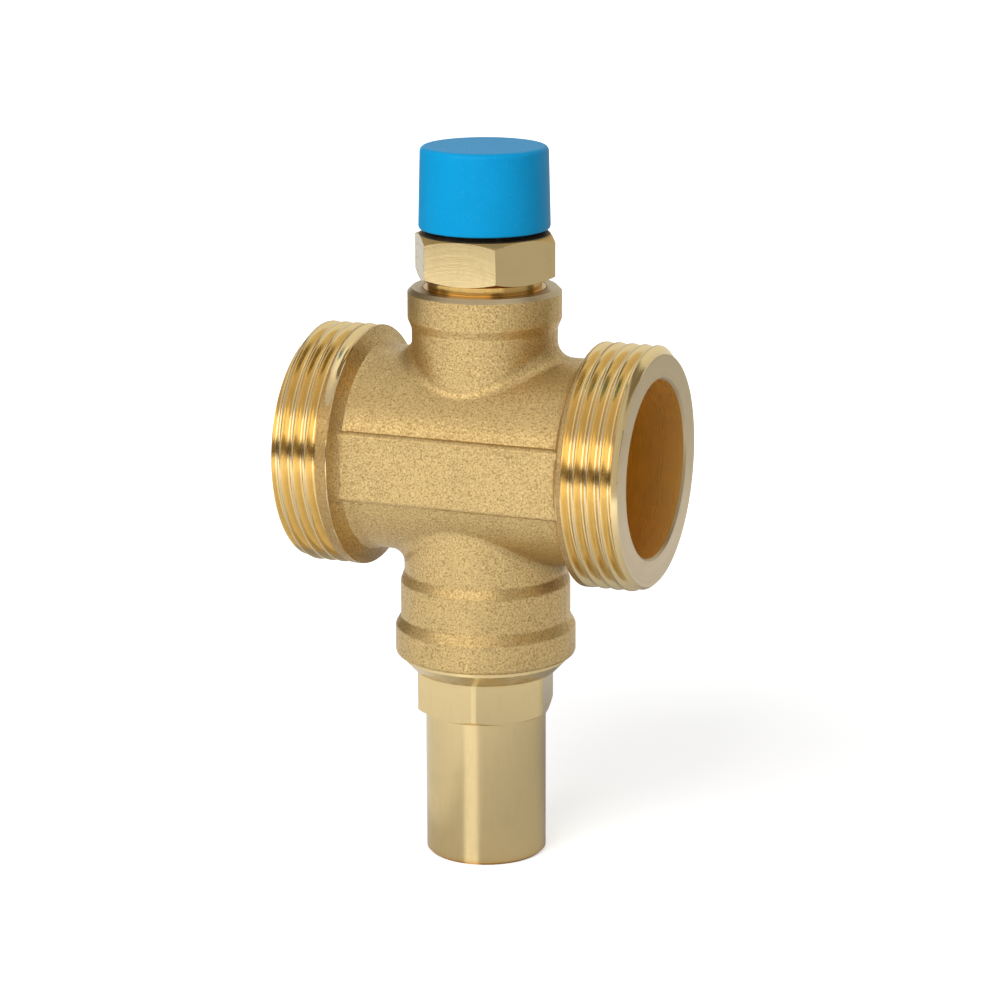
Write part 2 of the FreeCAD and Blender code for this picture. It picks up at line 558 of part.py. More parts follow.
def make_breaker_body():
    """The vacuum breaker's turned plug: thread, hexagon, cap neck, guide web and seat."""
    body = new_body("breaker_body")
    nose = "(upper_seal_bore / 2 - nose_clearance)"
    groove_floor = "(upper_seal_bore / 2 - ring_section)"
    groove_top = f"({UPPER_GROOVE_FLOOR} + {GROOVE_WIDTH})"
    spigot = "cap_spigot_dia / 2"
    turn(body, "plug", [
        ("breaker_bore / 2", NOSE_FLOOR), (nose, NOSE_FLOOR), (nose, UPPER_GROOVE_FLOOR),
        (groove_floor, UPPER_GROOVE_FLOOR), (groove_floor, groove_top), (nose, groove_top),
        (nose, f"{UPPER_THREAD_END} + thread_gap"),
        ("upper_thread_dia / 2", f"{UPPER_THREAD_END} + thread_gap"),
        ("upper_thread_dia / 2", BOSS_TOP), ("plug_neck_dia / 2", BOSS_TOP),
        ("plug_neck_dia / 2", PLUG_HEX_TOP), (spigot, PLUG_HEX_TOP), (spigot, SNAP_FLOOR),
        (f"{spigot} - snap_depth", SNAP_FLOOR), (f"{spigot} - snap_depth", SNAP_TOP), (spigot, SNAP_TOP),
        (spigot, SPIGOT_TOP), ("spring_room / 2", SPIGOT_TOP), ("spring_room / 2", WEB_TOP),
        ("stem_dia / 2 + running_clearance", WEB_TOP), ("stem_dia / 2 + running_clearance", WEB_FLOOR),
        ("breaker_bore / 2", WEB_FLOOR),
    ])
    hexagon(body, "plug_hexagon", "plug_flats", "plug_hex_height", PLUG_HEX_FLOOR, "plug_turn")
    ring = "(plug_flats / 2 - hex_chamfer)"
    hex_end_cut(body, "hex_top_chamfer", "plug_flats", ring, PLUG_CHAMFER_ANGLE, PLUG_HEX_TOP, 1)
    hex_end_cut(body, "hex_floor_chamfer", "plug_flats", ring, PLUG_CHAMFER_ANGLE, PLUG_HEX_FLOOR, -1)
    groove(body, "plug_inside", [
        ("0", NOSE_FLOOR), ("breaker_bore / 2", NOSE_FLOOR), ("breaker_bore / 2", WEB_FLOOR),
        ("stem_dia / 2 + running_clearance", WEB_FLOOR), ("stem_dia / 2 + running_clearance", WEB_TOP),
        ("spring_room / 2", WEB_TOP), ("spring_room / 2", SPIGOT_TOP), ("0", SPIGOT_TOP),
    ])
    holes = new_sketch(body, "air_hole_outline", "XY_Plane", ("0", "0", WEB_TOP))
    add_circle(holes, "(stem_dia / 2 + breaker_bore / 2) / 2", "0", "air_hole")
    hole = pocket(body, "air_hole_cut", holes, "web_thickness")
    round_about(body, "air_holes", hole, "air_hole_count")
    return body


def make_vent_cap():
    """The moulded cap: a drafted cup with ribs that snap on the breaker's neck and let air past."""
    body = new_body("vent_cap")
    inside = "(cap_top_dia / 2 - cap_wall)"
    cup = turn(body, "cap_cup", [
        ("cap_dia / 2 - cap_wall", CAP_RIM), ("cap_dia / 2", CAP_RIM), ("cap_top_dia / 2", CAP_TOP),
        ("0", CAP_TOP), ("0", CAP_CEILING), (inside, CAP_CEILING),
    ])
    top = value(CAP_TOP)
    fillet(body, "cap_top_round", cup, lambda point: near(point.z, top), "cap_round")
    spigot = "cap_spigot_dia / 2"
    bead = f"{spigot} - snap_depth + snap_play"
    rib = turn(body, "cap_rib", [
        (spigot, f"{CAP_RIM} + rib_start"), ("cap_dia / 2 - cap_wall / 2", f"{CAP_RIM} + rib_start"),
        ("cap_top_dia / 2 - cap_wall / 2", f"{CAP_CEILING} + cap_roof / 2"),
        (f"{spigot} - rib_ledge", f"{CAP_CEILING} + cap_roof / 2"), (f"{spigot} - rib_ledge", SPIGOT_TOP),
        (spigot, SPIGOT_TOP), (spigot, f"{SNAP_TOP} - snap_play"), (bead, f"{SNAP_TOP} - snap_play"),
        (bead, f"{SNAP_FLOOR} + snap_play"), (spigot, f"{SNAP_FLOOR} + snap_play"),
    ], angle="cap_rib_angle")
    round_about(body, "cap_ribs", rib, "cap_rib_count")
    return body


def make_breaker_poppet():
    """The poppet: a disc under the seat and the stem that carries the clip."""
    body = new_body("breaker_poppet")
    stem = "stem_dia / 2"
    neck = f"{stem} - clip_groove"
    turn(body, "poppet", [
        ("0", f"{POPPET_TOP} - poppet_thickness"), (POPPET_RADIUS, f"{POPPET_TOP} - poppet_thickness"),
        (POPPET_RADIUS, POPPET_TOP), (stem, POPPET_TOP), (stem, CLIP_FLOOR), (neck, CLIP_FLOOR),
        (neck, CLIP_TOP), (stem, CLIP_TOP), (stem, f"{CLIP_TOP} + stem_tail"),
        ("0", f"{CLIP_TOP} + stem_tail"),
    ])
    return body


def make_poppet_seal():
    """The flat rubber ring between the poppet and the breaker's end face."""
    body = new_body("poppet_seal")
    turn(body, "seal", [
        ("stem_dia / 2", POPPET_TOP), (POPPET_RADIUS, POPPET_TOP), (POPPET_RADIUS, NOSE_FLOOR),
        ("stem_dia / 2", NOSE_FLOOR),
    ])
    return body


def make_spring_clip():
    """The clip pushed sideways into the stem's groove."""
    body = new_body("spring_clip")
    neck = "stem_dia / 2 - clip_groove"
    outside = "(breaker_spring_dia + breaker_spring_wire) / 2 + clip_rim"
    turn(body, "clip", [(neck, CLIP_FLOOR), (outside, CLIP_FLOOR), (outside, CLIP_TOP), (neck, CLIP_TOP)])
    slot = new_sketch(body, "clip_slot_outline", "XY_Plane", ("0", f"-({neck})", CLIP_TOP))
    width = f"2 * ({neck})"
    add_outline(slot, [("0", "0"), (outside, "0"), (outside, width), ("0", width)])
    pocket(body, "clip_slot", slot, "clip_thickness")
    return body


def make_drain_insert():
    """The drain insert: thread, rim, hexagon and drain tube, with the valve seat inside."""
    body = new_body("drain_insert")
    nose = "(lower_seal_bore / 2 - nose_clearance)"
    groove_floor = "(lower_seal_bore / 2 - ring_section)"
    groove_low = f"({LOWER_GROOVE_TOP} - {GROOVE_WIDTH})"
    turn(body, "insert", [
        ("0", "0"), ("tube_dia / 2 - tube_chamfer", "0"), ("tube_dia / 2", "tube_chamfer"),
        ("tube_dia / 2", HEX_CEILING), ("drain_corner_dia / 2", HEX_CEILING), ("rim_dia / 2", RIM_FLOOR),
        ("rim_dia / 2", BOSS_END), ("lower_thread_dia / 2", BOSS_END),
        ("lower_thread_dia / 2", f"{LOWER_THREAD_END} - thread_gap"),
        (nose, f"{LOWER_THREAD_END} - thread_gap"),
        (nose, groove_low), (groove_floor, groove_low), (groove_floor, LOWER_GROOVE_TOP),
        (nose, LOWER_GROOVE_TOP), (nose, INSERT_TOP), ("0", INSERT_TOP),
    ])
    hexagon(body, "drain_hexagon", "drain_flats", "drain_hex_height", HEX_FLOOR, "drain_turn")
    corner = "drain_corner_dia / 2"
    reach = f"drain_flats / 2 / cos(30) + {CUT_SPARE}"
    groove(body, "hex_corners", [
        (corner, HEX_FLOOR), (reach, HEX_FLOOR), (reach, HEX_CEILING), (corner, HEX_CEILING),
    ])
    hex_end_cut(body, "hex_floor_chamfer", "drain_flats", "drain_flats / 2", DRAIN_CHAMFER_ANGLE,
                HEX_FLOOR, -1)
    spring_bore = "spring_bore / 2"
    ring_groove = f"{spring_bore} + ring_bite + ring_play"
    groove(body, "drain_way", [
        ("0", "0"), ("tube_bore / 2 + tube_chamfer", "0"), ("tube_bore / 2", "tube_chamfer"),
        ("tube_bore / 2", SPRING_BORE_FLOOR), (spring_bore, SPRING_BORE_FLOOR),
        (spring_bore, RING_GROOVE_FLOOR),
        (ring_groove, RING_GROOVE_FLOOR), (ring_groove, RING_TOP), (spring_bore, RING_TOP),
        (spring_bore, SPRING_BORE_TOP), ("seat_bore / 2", SPRING_BORE_TOP), ("seat_bore / 2", SEAT),
        ("seat_bore / 2 + seat_wall", SEAT), ("seat_bore / 2 + seat_wall", CHAMBER_FLOOR),
        (CHAMBER_RADIUS, CHAMBER_FLOOR), (CHAMBER_RADIUS, INSERT_TOP), ("0", INSERT_TOP),
    ])
    return body


def make_spring_seat():
    """The washer under the opening spring, notched to let water past."""
    body = new_body("spring_seat")
    outside = "spring_bore / 2 - spring_seat_gap"
    inside = f"{OPENING_SPRING_DIA} / 2 - opening_spring_wire"
    turn(body, "washer", [
        (inside, RING_TOP), (outside, RING_TOP), (outside, SPRING_SEAT_TOP), (inside, SPRING_SEAT_TOP),
    ])
    notches = new_sketch(body, "notch_outline", "XY_Plane", ("0", "0", SPRING_SEAT_TOP))
    add_circle(notches, outside, "0", "drain_notch_dia")
    notch = pocket(body, "notch", notches, "spring_seat_thickness")
    round_about(body, "notches", notch, "drain_notch_count")
    return body


def make_retaining_ring():
    """The open ring that holds the spring seat in the drain insert."""
    body = new_body("retaining_ring")
    outside = "spring_bore / 2 + ring_bite"
    inside = f"{outside} - ring_width"
    floor = f"{RING_TOP} - ring_thickness"
    turn(body, "ring", [
        (inside, floor), (outside, floor), (outside, RING_TOP), (inside, RING_TOP),
    ], angle="360 - ring_opening")
    return body


def make_drain_shutter():
    """The shutter: recesses for its seal and spring below, a hub for the piston above."""
    body = new_body("drain_shutter")
    seal_inside = "seat_bore / 2 - seal_overlap"
    seal_outside = "seat_bore / 2 + seat_wall + seal_overlap"
    seal_top = f"{SHUTTER_FLOOR} + shutter_seal_recess"
    spring_pocket = f"({OPENING_SPRING_DIA} + opening_spring_wire) / 2 + spring_clearance"
    socket = "piston_dia / 2"
    turn(body, "shutter", [
        ("0", OPENING_SPRING_TOP), (spring_pocket, OPENING_SPRING_TOP), (spring_pocket, SHUTTER_FLOOR),
        (seal_inside, SHUTTER_FLOOR), (seal_inside, seal_top), (seal_outside, seal_top),
        (seal_outside, SHUTTER_FLOOR), (SHUTTER_RADIUS, SHUTTER_FLOOR), (SHUTTER_RADIUS, SHUTTER_TOP),
        ("shutter_hub_dia / 2", SHUTTER_TOP), ("shutter_hub_dia / 2", HUB_TOP), (socket, HUB_TOP),
        (socket, SOCKET_FLOOR), ("0", SOCKET_FLOOR),
    ])
    return body


def make_shutter_seal():
    """The rubber ring that closes the drain seat."""
    body = new_body("shutter_seal")
    inside = "seat_bore / 2 - seal_overlap"
    outside = "seat_bore / 2 + seat_wall + seal_overlap"
    top = f"{SEAT} + shutter_seal_thickness"
    turn(body, "seal", [(inside, SEAT), (outside, SEAT), (outside, top), (inside, top)])
    return body


def make_wax_piston():
    """The piston that the wax pushes out against the shutter."""
    body = new_body("wax_piston")
    radius = "piston_dia / 2"
    turn(body, "piston", [
        ("0", SOCKET_FLOOR), (radius, SOCKET_FLOOR), (radius, PISTON_TOP), ("0", PISTON_TOP),
    ])
    return body


def make_wax_guide():
    """The guide that the piston slides in, with the collar that the capsule is crimped over."""
    body = new_body("wax_guide")
    bore = "piston_dia / 2 + running_clearance"
    bore_end = f"{PISTON_TOP} + drain_stroke + guide_end_gap"
    floor = f"{LEDGE} - guide_drop"
    collar = "guide_collar_dia / 2"
    turn(body, "guide", [
        (bore, floor), ("guide_dia / 2", floor), ("guide_dia / 2", COLLAR_FLOOR), (collar, COLLAR_FLOOR),
        (collar, COLLAR_TOP), ("0", COLLAR_TOP), ("0", bore_end), (bore, bore_end),
    ])
    return body


def make_wax_capsule():
    """The sealed wax capsule, crimped round the guide's collar."""
    body = new_body("wax_capsule")
    collar = "guide_collar_dia / 2"
    lip = f"{collar} - 2 * crimp_wall"
    turn(body, "capsule", [
        ("0", COLLAR_TOP), (collar, COLLAR_TOP), (collar, COLLAR_FLOOR), (lip, COLLAR_FLOOR), (lip, LEDGE),
        (CRIMP_RADIUS, LEDGE), (CRIMP_RADIUS, CRIMP_TOP), ("capsule_dia / 2", CRIMP_TOP),
        ("capsule_dia / 2", f"{CAPSULE_TOP} - capsule_chamfer"),
        ("capsule_dia / 2 - capsule_chamfer", CAPSULE_TOP), ("0", CAPSULE_TOP),
    ])
    return body


def make_element_cage():
    """The cage that stands in the flow: windows all round, a ledge for the element, a rolled top rim."""
    body = new_body("element_cage")
    flange = "drain_passage / 2 - cage_passage_gap"
    flange_top = f"({INSERT_TOP} + cage_flange)"
    ledge_hole = "guide_dia / 2 + ledge_gap"
    ledge_floor = f"({LEDGE} - ledge_thickness)"
    turn(body, "cage", [
        (CAGE_INSIDE, f"{INSERT_TOP} - cage_spigot"), (CHAMBER_RADIUS, f"{INSERT_TOP} - cage_spigot"),
        (CHAMBER_RADIUS, INSERT_TOP), (flange, INSERT_TOP), (flange, flange_top),
        (CHAMBER_RADIUS, flange_top), (CHAMBER_RADIUS, CAGE_TOP), (f"{CAGE_INSIDE} - rolled_rim", CAGE_TOP),
        (f"{CAGE_INSIDE} - rolled_rim", CAGE_CAP_TOP), (CAGE_INSIDE, CAGE_CAP_TOP), (CAGE_INSIDE, LEDGE),
        (ledge_hole, LEDGE), (ledge_hole, ledge_floor), (CAGE_INSIDE, ledge_floor),
    ])
    windows = new_sketch(body, "window_outline", shift=("-cage_window / 2", "0", "0"))
    stretches = [(f"{flange_top} + cage_band", f"{ledge_floor} - cage_band"),
                 (f"{LEDGE} + cage_band", f"{CAGE_CAP_FLOOR} - cage_band")]
    for low, high in stretches:
        add_outline(windows, [("0", low), ("cage_window", low), ("cage_window", high), ("0", high)])
    window = pocket(body, "window", windows, CHAMBER_RADIUS)
    round_about(body, "windows", window, "cage_window_count")
    return body


def make_cage_cap():
    """The ring under the cage's rolled rim that the overtravel spring pushes against."""
    body = new_body("cage_cap")
    inside = "capsule_dia / 2 + spring_clearance"
    outside = f"{CAGE_INSIDE} - cage_cap_gap"
    turn(body, "cap_ring", [
        (inside, CAGE_CAP_FLOOR), (outside, CAGE_CAP_FLOOR), (outside, CAGE_CAP_TOP), (inside, CAGE_CAP_TOP),
    ])
    return body


sub_parts = [
    make_valve_body(),
    make_breaker_body(),
    o_ring("breaker_o_ring", "upper_seal_bore", f"{UPPER_GROOVE_FLOOR} + {GROOVE_WIDTH} / 2"),
    make_vent_cap(),
    make_breaker_poppet(),
    make_poppet_seal(),
    make_spring_clip(),
    coil_spring("breaker_spring", "breaker_spring_dia", "breaker_spring_wire", "breaker_spring_turns",
                WEB_TOP, CLIP_FLOOR),
    make_drain_insert(),
    o_ring("drain_o_ring", "lower_seal_bore", f"{LOWER_GROOVE_TOP} - {GROOVE_WIDTH} / 2"),
    make_spring_seat(),
    make_retaining_ring(),
    make_drain_shutter(),
    make_shutter_seal(),
    coil_spring("opening_spring", OPENING_SPRING_DIA, "opening_spring_wire", "opening_spring_turns",
                SPRING_SEAT_TOP, OPENING_SPRING_TOP),
    make_wax_piston(),
    make_wax_guide(),
    make_wax_capsule(),
    make_element_cage(),
    make_cage_cap(),
    coil_spring("overtravel_spring", OVERTRAVEL_SPRING_DIA, "overtravel_spring_wire",
                "overtravel_spring_turns", CRIMP_TOP, CAGE_CAP_FLOOR),
]
doc.recompute()

for thing in doc.Objects:
    if "Invalid" in thing.State or "Error" in thing.State:
        raise RuntimeError(f"{thing.Label} did not build: {thing.State}")
for part in sub_parts:
    if part.Shape.isNull() or not part.Shape.isValid() or len(part.Shape.Solids) != 1:
        raise RuntimeError(f"{part.Label} is not one valid solid")

os.makedirs("parts", exist_ok=True)
for part in sub_parts:
    part.Shape.exportStep(os.path.join("parts", f"{part.Label}.step"))
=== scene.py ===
"""Anti-freeze valve: its visual pieces, finishes and studio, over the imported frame."""

import math

import bmesh
import bpy
from bpy.props import FloatProperty, FloatVectorProperty, IntProperty, PointerProperty
from mathutils import Matrix, Vector


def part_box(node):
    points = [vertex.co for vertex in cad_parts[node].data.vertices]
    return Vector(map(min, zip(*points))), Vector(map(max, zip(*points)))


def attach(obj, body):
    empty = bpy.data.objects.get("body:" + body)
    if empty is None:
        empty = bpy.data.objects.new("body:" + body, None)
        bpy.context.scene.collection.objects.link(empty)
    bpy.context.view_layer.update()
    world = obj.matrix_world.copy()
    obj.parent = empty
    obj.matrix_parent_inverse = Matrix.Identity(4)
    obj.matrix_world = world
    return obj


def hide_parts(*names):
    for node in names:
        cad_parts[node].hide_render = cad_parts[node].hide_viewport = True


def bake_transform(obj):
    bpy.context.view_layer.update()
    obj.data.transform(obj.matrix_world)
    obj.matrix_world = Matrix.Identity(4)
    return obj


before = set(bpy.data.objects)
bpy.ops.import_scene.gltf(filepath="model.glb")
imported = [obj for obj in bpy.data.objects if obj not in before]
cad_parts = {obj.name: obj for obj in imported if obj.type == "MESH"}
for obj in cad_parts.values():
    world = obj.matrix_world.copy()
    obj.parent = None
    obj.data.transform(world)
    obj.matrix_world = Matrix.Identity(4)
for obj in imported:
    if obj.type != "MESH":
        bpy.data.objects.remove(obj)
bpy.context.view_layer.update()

bl_info = {
    "name": "Anti-freeze valve",
    "version": (1, 0, 0),
    "blender": (4, 5, 0),
    "location": "View3D > Sidebar > Valve",
    "description": "Visual pieces, finishes and studio of a brass anti-freeze valve",
    "category": "Object",
}

MM = 0.001
WELD = 0.002 * MM
NEAR = 0.02 * MM
BODY_LOW, BODY_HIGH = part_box("valve_body")
CAP_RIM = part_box("vent_cap")[0].z
PIPE_AXIS = 71.4 * MM
PORT_FACE = BODY_HIGH.x
CREST_RADIUS = BODY_HIGH.y
BOSS_END = BODY_LOW.z
BOSS_TOP = BODY_HIGH.z
# The top of the plug's hexagon, its half width over flats in millimetres and the slope of its chamfer.
PLUG_TOP = CAP_RIM - 0.9 * MM
PLUG_HALF = 11.15
PLUG_SLOPE = math.tan(math.radians(25))
# Radius of the drain tube, in millimetres.
TUBE_RADIUS = 10.5
# How far the bored walls reach from the pipe axis and from the upright axis.
PIPE_WALL = 15.6 * MM
UPPER_WALL = 12.2 * MM
LOWER_WALL = 13.85 * MM
# How far the barrel and the bosses reach from their axes.
BARREL_REACH = 18.2 * MM
BOSS_REACH = 16 * MM
# Height of the machined rim on the upper boss.
RIM_HEIGHT = 0.7 * MM
# Rounds on the cast bosses, on turned edges and on the cap's lower rim.
CAST_ROUND = 0.8 * MM
TURNED_ROUND = 0.12 * MM
CAP_ROUND = 0.5 * MM
# Edges nearer to the upright axis than this are hidden and stay sharp.
PLUG_INSIDE = 8.8 * MM
CAP_INSIDE = 9 * MM
INSERT_INSIDE = 8 * MM
# Angles between faces: joined below the first, rounded above the second, creased above the third.
FLAT_ANGLE = math.radians(0.3)
SHARP_ANGLE = math.radians(20)
CREASE_ANGLE = math.radians(32)
# Steps of a spring's turn and sides of its wire.
COIL_STEPS = 40
WIRE_SIDES = 12
# Distance at which the floor starts to turn white and is white, in millimetres.
FLOOR_GREY = 40
FLOOR_WHITE = 320
# Bright strip on the floor in front of the tube: its shift, lean, half width and spread, in millimetres.
STRIP_SHIFT = 1.3
STRIP_LEAN = 0.14
STRIP_HALF = 1.5
STRIP_SPREAD = 0.28
# The CAD's own materials have the names of the slots, so the finishes take this before theirs.
FINISH_PREFIX = "finish_"


def length(name, millimetres, description):
    """A length property, whose default is given in millimetres."""
    return FloatProperty(
        name=name, description=description, default=millimetres * MM, unit="LENGTH", precision=5
    )


def angle(name, degrees, description):
    """An angle property, whose default is given in degrees."""
    return FloatProperty(
        name=name, description=description, default=math.radians(degrees), subtype="ANGLE"
    )


def colour(name, default, description):
    """A colour property."""
    return FloatVectorProperty(
        name=name, description=description, default=(*default, 1), size=4, subtype="COLOR",
        min=0, max=1,
    )


def number(name, default, description):
    """A plain number property."""
    return FloatProperty(name=name, description=description, default=default)


class ValveThread(bpy.types.PropertyGroup):
    """Pipe thread on the two ports."""

    pitch: length("Pitch", 2.309, "Distance from crest to crest")
    depth: length("Depth", 1.4785, "Depth of the groove")
    run: length("Threaded length", 10.65, "Length of the port from flange to face")
    chamfer: length("Lead chamfer", 0.95, "Chamfer at the open end of the thread")
    flange_edge: length("Flange edge", 0.14, "Broken corner at the flange")
    fade_start: length("Run-out start", 0.9, "Where the groove begins, from the flange")
    fade_end: length("Run-out end", 1.5, "Where the groove is at full depth")
    right_lead: length("Right lead", 1.897, "Place of the first crest on the right port")
    left_lead: length("Left lead", 0.743, "Place of the first crest on the left port")
    face_inner: length("Face inner radius", 15.65, "Inside radius of the port face")
    mouth: length("Mouth depth", 0.4, "Chamfer between port face and bore")
    bore: length("Bore radius", 15.25, "Radius of the bore at the mouth")
    shoulder_x: length("Shoulder place", 20.252, "Place where the cast shoulder takes over")
    shoulder_radius: length("Shoulder radius", 19.3, "Cut the plain port beyond this radius")
    rows: IntProperty(name="Rows", description="Rows of faces in one pitch", default=16)
    segments: IntProperty(name="Segments", description="Faces round the port", default=180)


class ValveSprings(bpy.types.PropertyGroup):
    """Wire of the three coil springs."""

    breaker_wire: length("Breaker wire", 0.7, "Wire of the vacuum breaker's spring")
    breaker_turns: number("Breaker turns", 5, "Turns of the vacuum breaker's spring")
    opening_wire: length("Opening wire", 0.7, "Wire of the opening spring")
    opening_turns: number("Opening turns", 6, "Turns of the opening spring")
    overtravel_wire: length("Overtravel wire", 0.9, "Wire of the overtravel spring")
    overtravel_turns: number("Overtravel turns", 4, "Turns of the overtravel spring")
    end_flatness: number("End flatness", 0.85, "How far the end turns close up")


class ValveFinish(bpy.types.PropertyGroup):
    """Colours of the valve's finishes."""

    cast: colour("Cast brass", (0.62, 0.45, 0.2), "Shot-blasted brass of the body")
    # The recess colour of the cast body is painted shade in its corners and hollows, and also the colour
    # of its dark grain specks, parting line and flange band.
    cast_dark_and_painted_shade: colour("Cast brass, recess", (0.30, 0.165, 0.05), "Body in corners and hollows")
    thread: colour("Thread brass", (0.90, 0.70, 0.36), "Polished brass of the threads")
    faced: colour("Faced brass", (0.50, 0.40, 0.25), "Flat machined faces")
    turned: colour("Turned brass", (0.74, 0.58, 0.30), "Plug, insert and other turned pieces")
    # The recess colour of the turned pieces is painted shade in their corners and on the plug's top
    # chamfer.
    turned_painted_shade: colour("Turned brass, recess", (0.60, 0.33, 0.05), "Turned pieces in corners")
    bored: colour("Bored brass", (0.96, 0.52, 0.03), "Inside of the body")
    cap: colour("Cap blue", (0.0, 0.34, 0.70), "Moulded vent cap")
    rubber: colour("Rubber", (0.018, 0.018, 0.019), "Seals")
    steel: colour("Spring steel", (0.56, 0.56, 0.57), "Springs, clip and rings")
    white: colour("White plastic", (0.74, 0.73, 0.69), "Poppet and element cage")


class ValveStudio(bpy.types.PropertyGroup):
    """Camera and light."""

    azimuth: angle("Azimuth", 21.9, "Camera's angle round the valve")
    elevation: angle("Elevation", 13.433, "Camera's angle above the pipe axis")
    roll: angle("Roll", -0.12, "Camera's turn about its own line of sight")
    yaw: angle("Yaw", 0.25, "Aim to the right of the pipe axis")
    pitch: angle("Pitch", -0.791, "Aim above the pipe axis")
    distance: length("Distance", 576.68, "Camera to the middle of the pipe axis")
    focal: number("Focal length", 120.49, "Lens in millimetres on a 36 mm sensor")
    ambience: number("Ambience", 0.3, "World's light on the valve")
    key_power: FloatProperty(name="Key", description="Key lamp", default=3.1, subtype="POWER")
    fill_power: FloatProperty(name="Fill", description="Fill lamp", default=0.4, subtype="POWER")


class Value:
    """One number in a node tree. Python's operators on it add Math nodes."""

    def __init__(self, graph, socket):
        self.graph = graph
        self.socket = socket

    def __add__(self, other):
        return self.graph.math("ADD", self, other)

    def __sub__(self, other):
        return self.graph.math("SUBTRACT", self, other)

    def __rsub__(self, other):
        return self.graph.math("SUBTRACT", other, self)

    def __mul__(self, other):
        return self.graph.math("MULTIPLY", self, other)

    def __truediv__(self, other):
        return self.graph.math("DIVIDE", self, other)

    def __pow__(self, other):
        return self.graph.math("POWER", self, other)

    def __abs__(self):
        return self.graph.math("ABSOLUTE", self)


class Graph:
    """A node tree and the few ways in which nodes are added to it."""

    def __init__(self, tree):
        self.tree = tree

    def node(self, kind, settings=None, inputs=None):
        """Add a node, its settings first and then the values or links of its sockets."""
        node = self.tree.nodes.new(kind)
        for name, setting in (settings or {}).items():
            setattr(node, name, setting)
        for name, given in (inputs or {}).items():
            self.feed(node.inputs[name], given)
        return node

    def feed(self, socket, given):
        """Link a socket to what feeds it, or set its value."""
        source = given.socket if isinstance(given, Value) else given
        if isinstance(source, bpy.types.NodeSocket):
            self.tree.links.new(source, socket)
        else:
            socket.default_value = source

    def value(self, kind, settings=None, inputs=None, output=0):
        """Add a node and take one of its outputs as a number."""
        return Value(self, self.node(kind, settings, inputs).outputs[output])

    def math(self, operation, *numbers):
        """Add a Math node."""
        return self.value("ShaderNodeMath", {"operation": operation}, dict(enumerate(numbers)))

    def step(self, number, low, high):
        """Rise smoothly from 0 at low to 1 at high."""
        inputs = {"Value": number, "From Min": low, "From Max": high}
        return self.value("ShaderNodeMapRange", {"interpolation_type": "SMOOTHSTEP"}, inputs)

    def parts(self, vector):
        """The three numbers of a vector."""
        split = self.node("ShaderNodeSeparateXYZ", inputs={0: vector})
        return [Value(self, output) for output in split.outputs]


class Finish(Graph):
    """A material's node tree. Its places are in millimetres."""

    def __init__(self, name):
        self.material = bpy.data.materials.new(FINISH_PREFIX + name)
        self.material.use_nodes = True
        super().__init__(self.material.node_tree)
        self.tree.nodes.clear()
        self.shader = self.node("ShaderNodeBsdfPrincipled")
        self.node("ShaderNodeOutputMaterial", inputs={"Surface": self.shader.outputs[0]})
        here = self.node("ShaderNodeTexCoord").outputs["Object"]
        inputs = {0: here, "Scale": 1 / MM}
        self.place = self.node("ShaderNodeVectorMath", {"operation": "SCALE"}, inputs).outputs[0]
        self.x, self.y, self.z = self.parts(self.place)

    def set(self, **inputs):
        """Set or link sockets of the shader by name, in small letters with _ for a space."""
        sockets = {socket.name.lower(): socket for socket in self.shader.inputs}
        for name, given in inputs.items():
            self.feed(sockets[name.replace("_", " ")], given)

    def noise(self, size, detail=2, stretch=(1, 1, 1)):
        """Noise with features of about that size, each axis stretched by a factor."""
        scale = [1 / (size * each) for each in stretch]
        place = self.node("ShaderNodeMapping", inputs={"Vector": self.place, "Scale": scale})
        inputs = {"Vector": place.outputs[0], "Scale": 1, "Detail": detail}
        return self.value("ShaderNodeTexNoise", inputs=inputs)

    def rings(self, along, size):
        """Noise that changes only along one line, as a turning tool leaves it."""
        inputs = {"W": along / size, "Scale": 1, "Detail": 2}
        return self.value("ShaderNodeTexNoise", {"noise_dimensions": "1D"}, inputs)

    def dimples(self, size):
        """Distance to the middle of random cells of about that size."""
        inputs = {"Vector": self.place, "Scale": 1 / size}
        return self.value("ShaderNodeTexVoronoi", inputs=inputs)

    def openness(self, reach):
        """How open a place is: 1 on a free face, less in corners."""
        inputs = {"Distance": reach * MM}
        return self.value("ShaderNodeAmbientOcclusion", {"samples": 8}, inputs, "AO")

    def mix(self, factor, first, second):
        """Mix two colours."""
        inputs = {0: factor, 6: first, 7: second}
        return self.node("ShaderNodeMix", {"data_type": "RGBA"}, inputs).outputs[2]

    def relief(self, height, depth, strength):
        """Bump from a height between 0 and 1, as deep as that many millimetres."""
        inputs = {"Height": height, "Strength": strength, "Distance": depth * MM}
        self.set(normal=self.node("ShaderNodeBump", inputs=inputs).outputs[0])

    def radius_x(self):
        """Distance from the pipe axis."""
        up = self.z - PIPE_AXIS / MM
        return (self.y * self.y + up * up) ** 0.5

    def radius_z(self):
        """Distance from the valve's upright axis."""
        return (self.x * self.x + self.y * self.y) ** 0.5


def scaled(shade, share):
    """A colour made darker or brighter, for specks, grooves and worn spots."""
    return (*(min(each * share, 1) for each in shade[:3]), 1)


def paler(shade, share):
    """A colour drawn towards white, for worn high spots."""
    return tuple(each + (1 - each) * share for each in shade[:3]) + (1,)


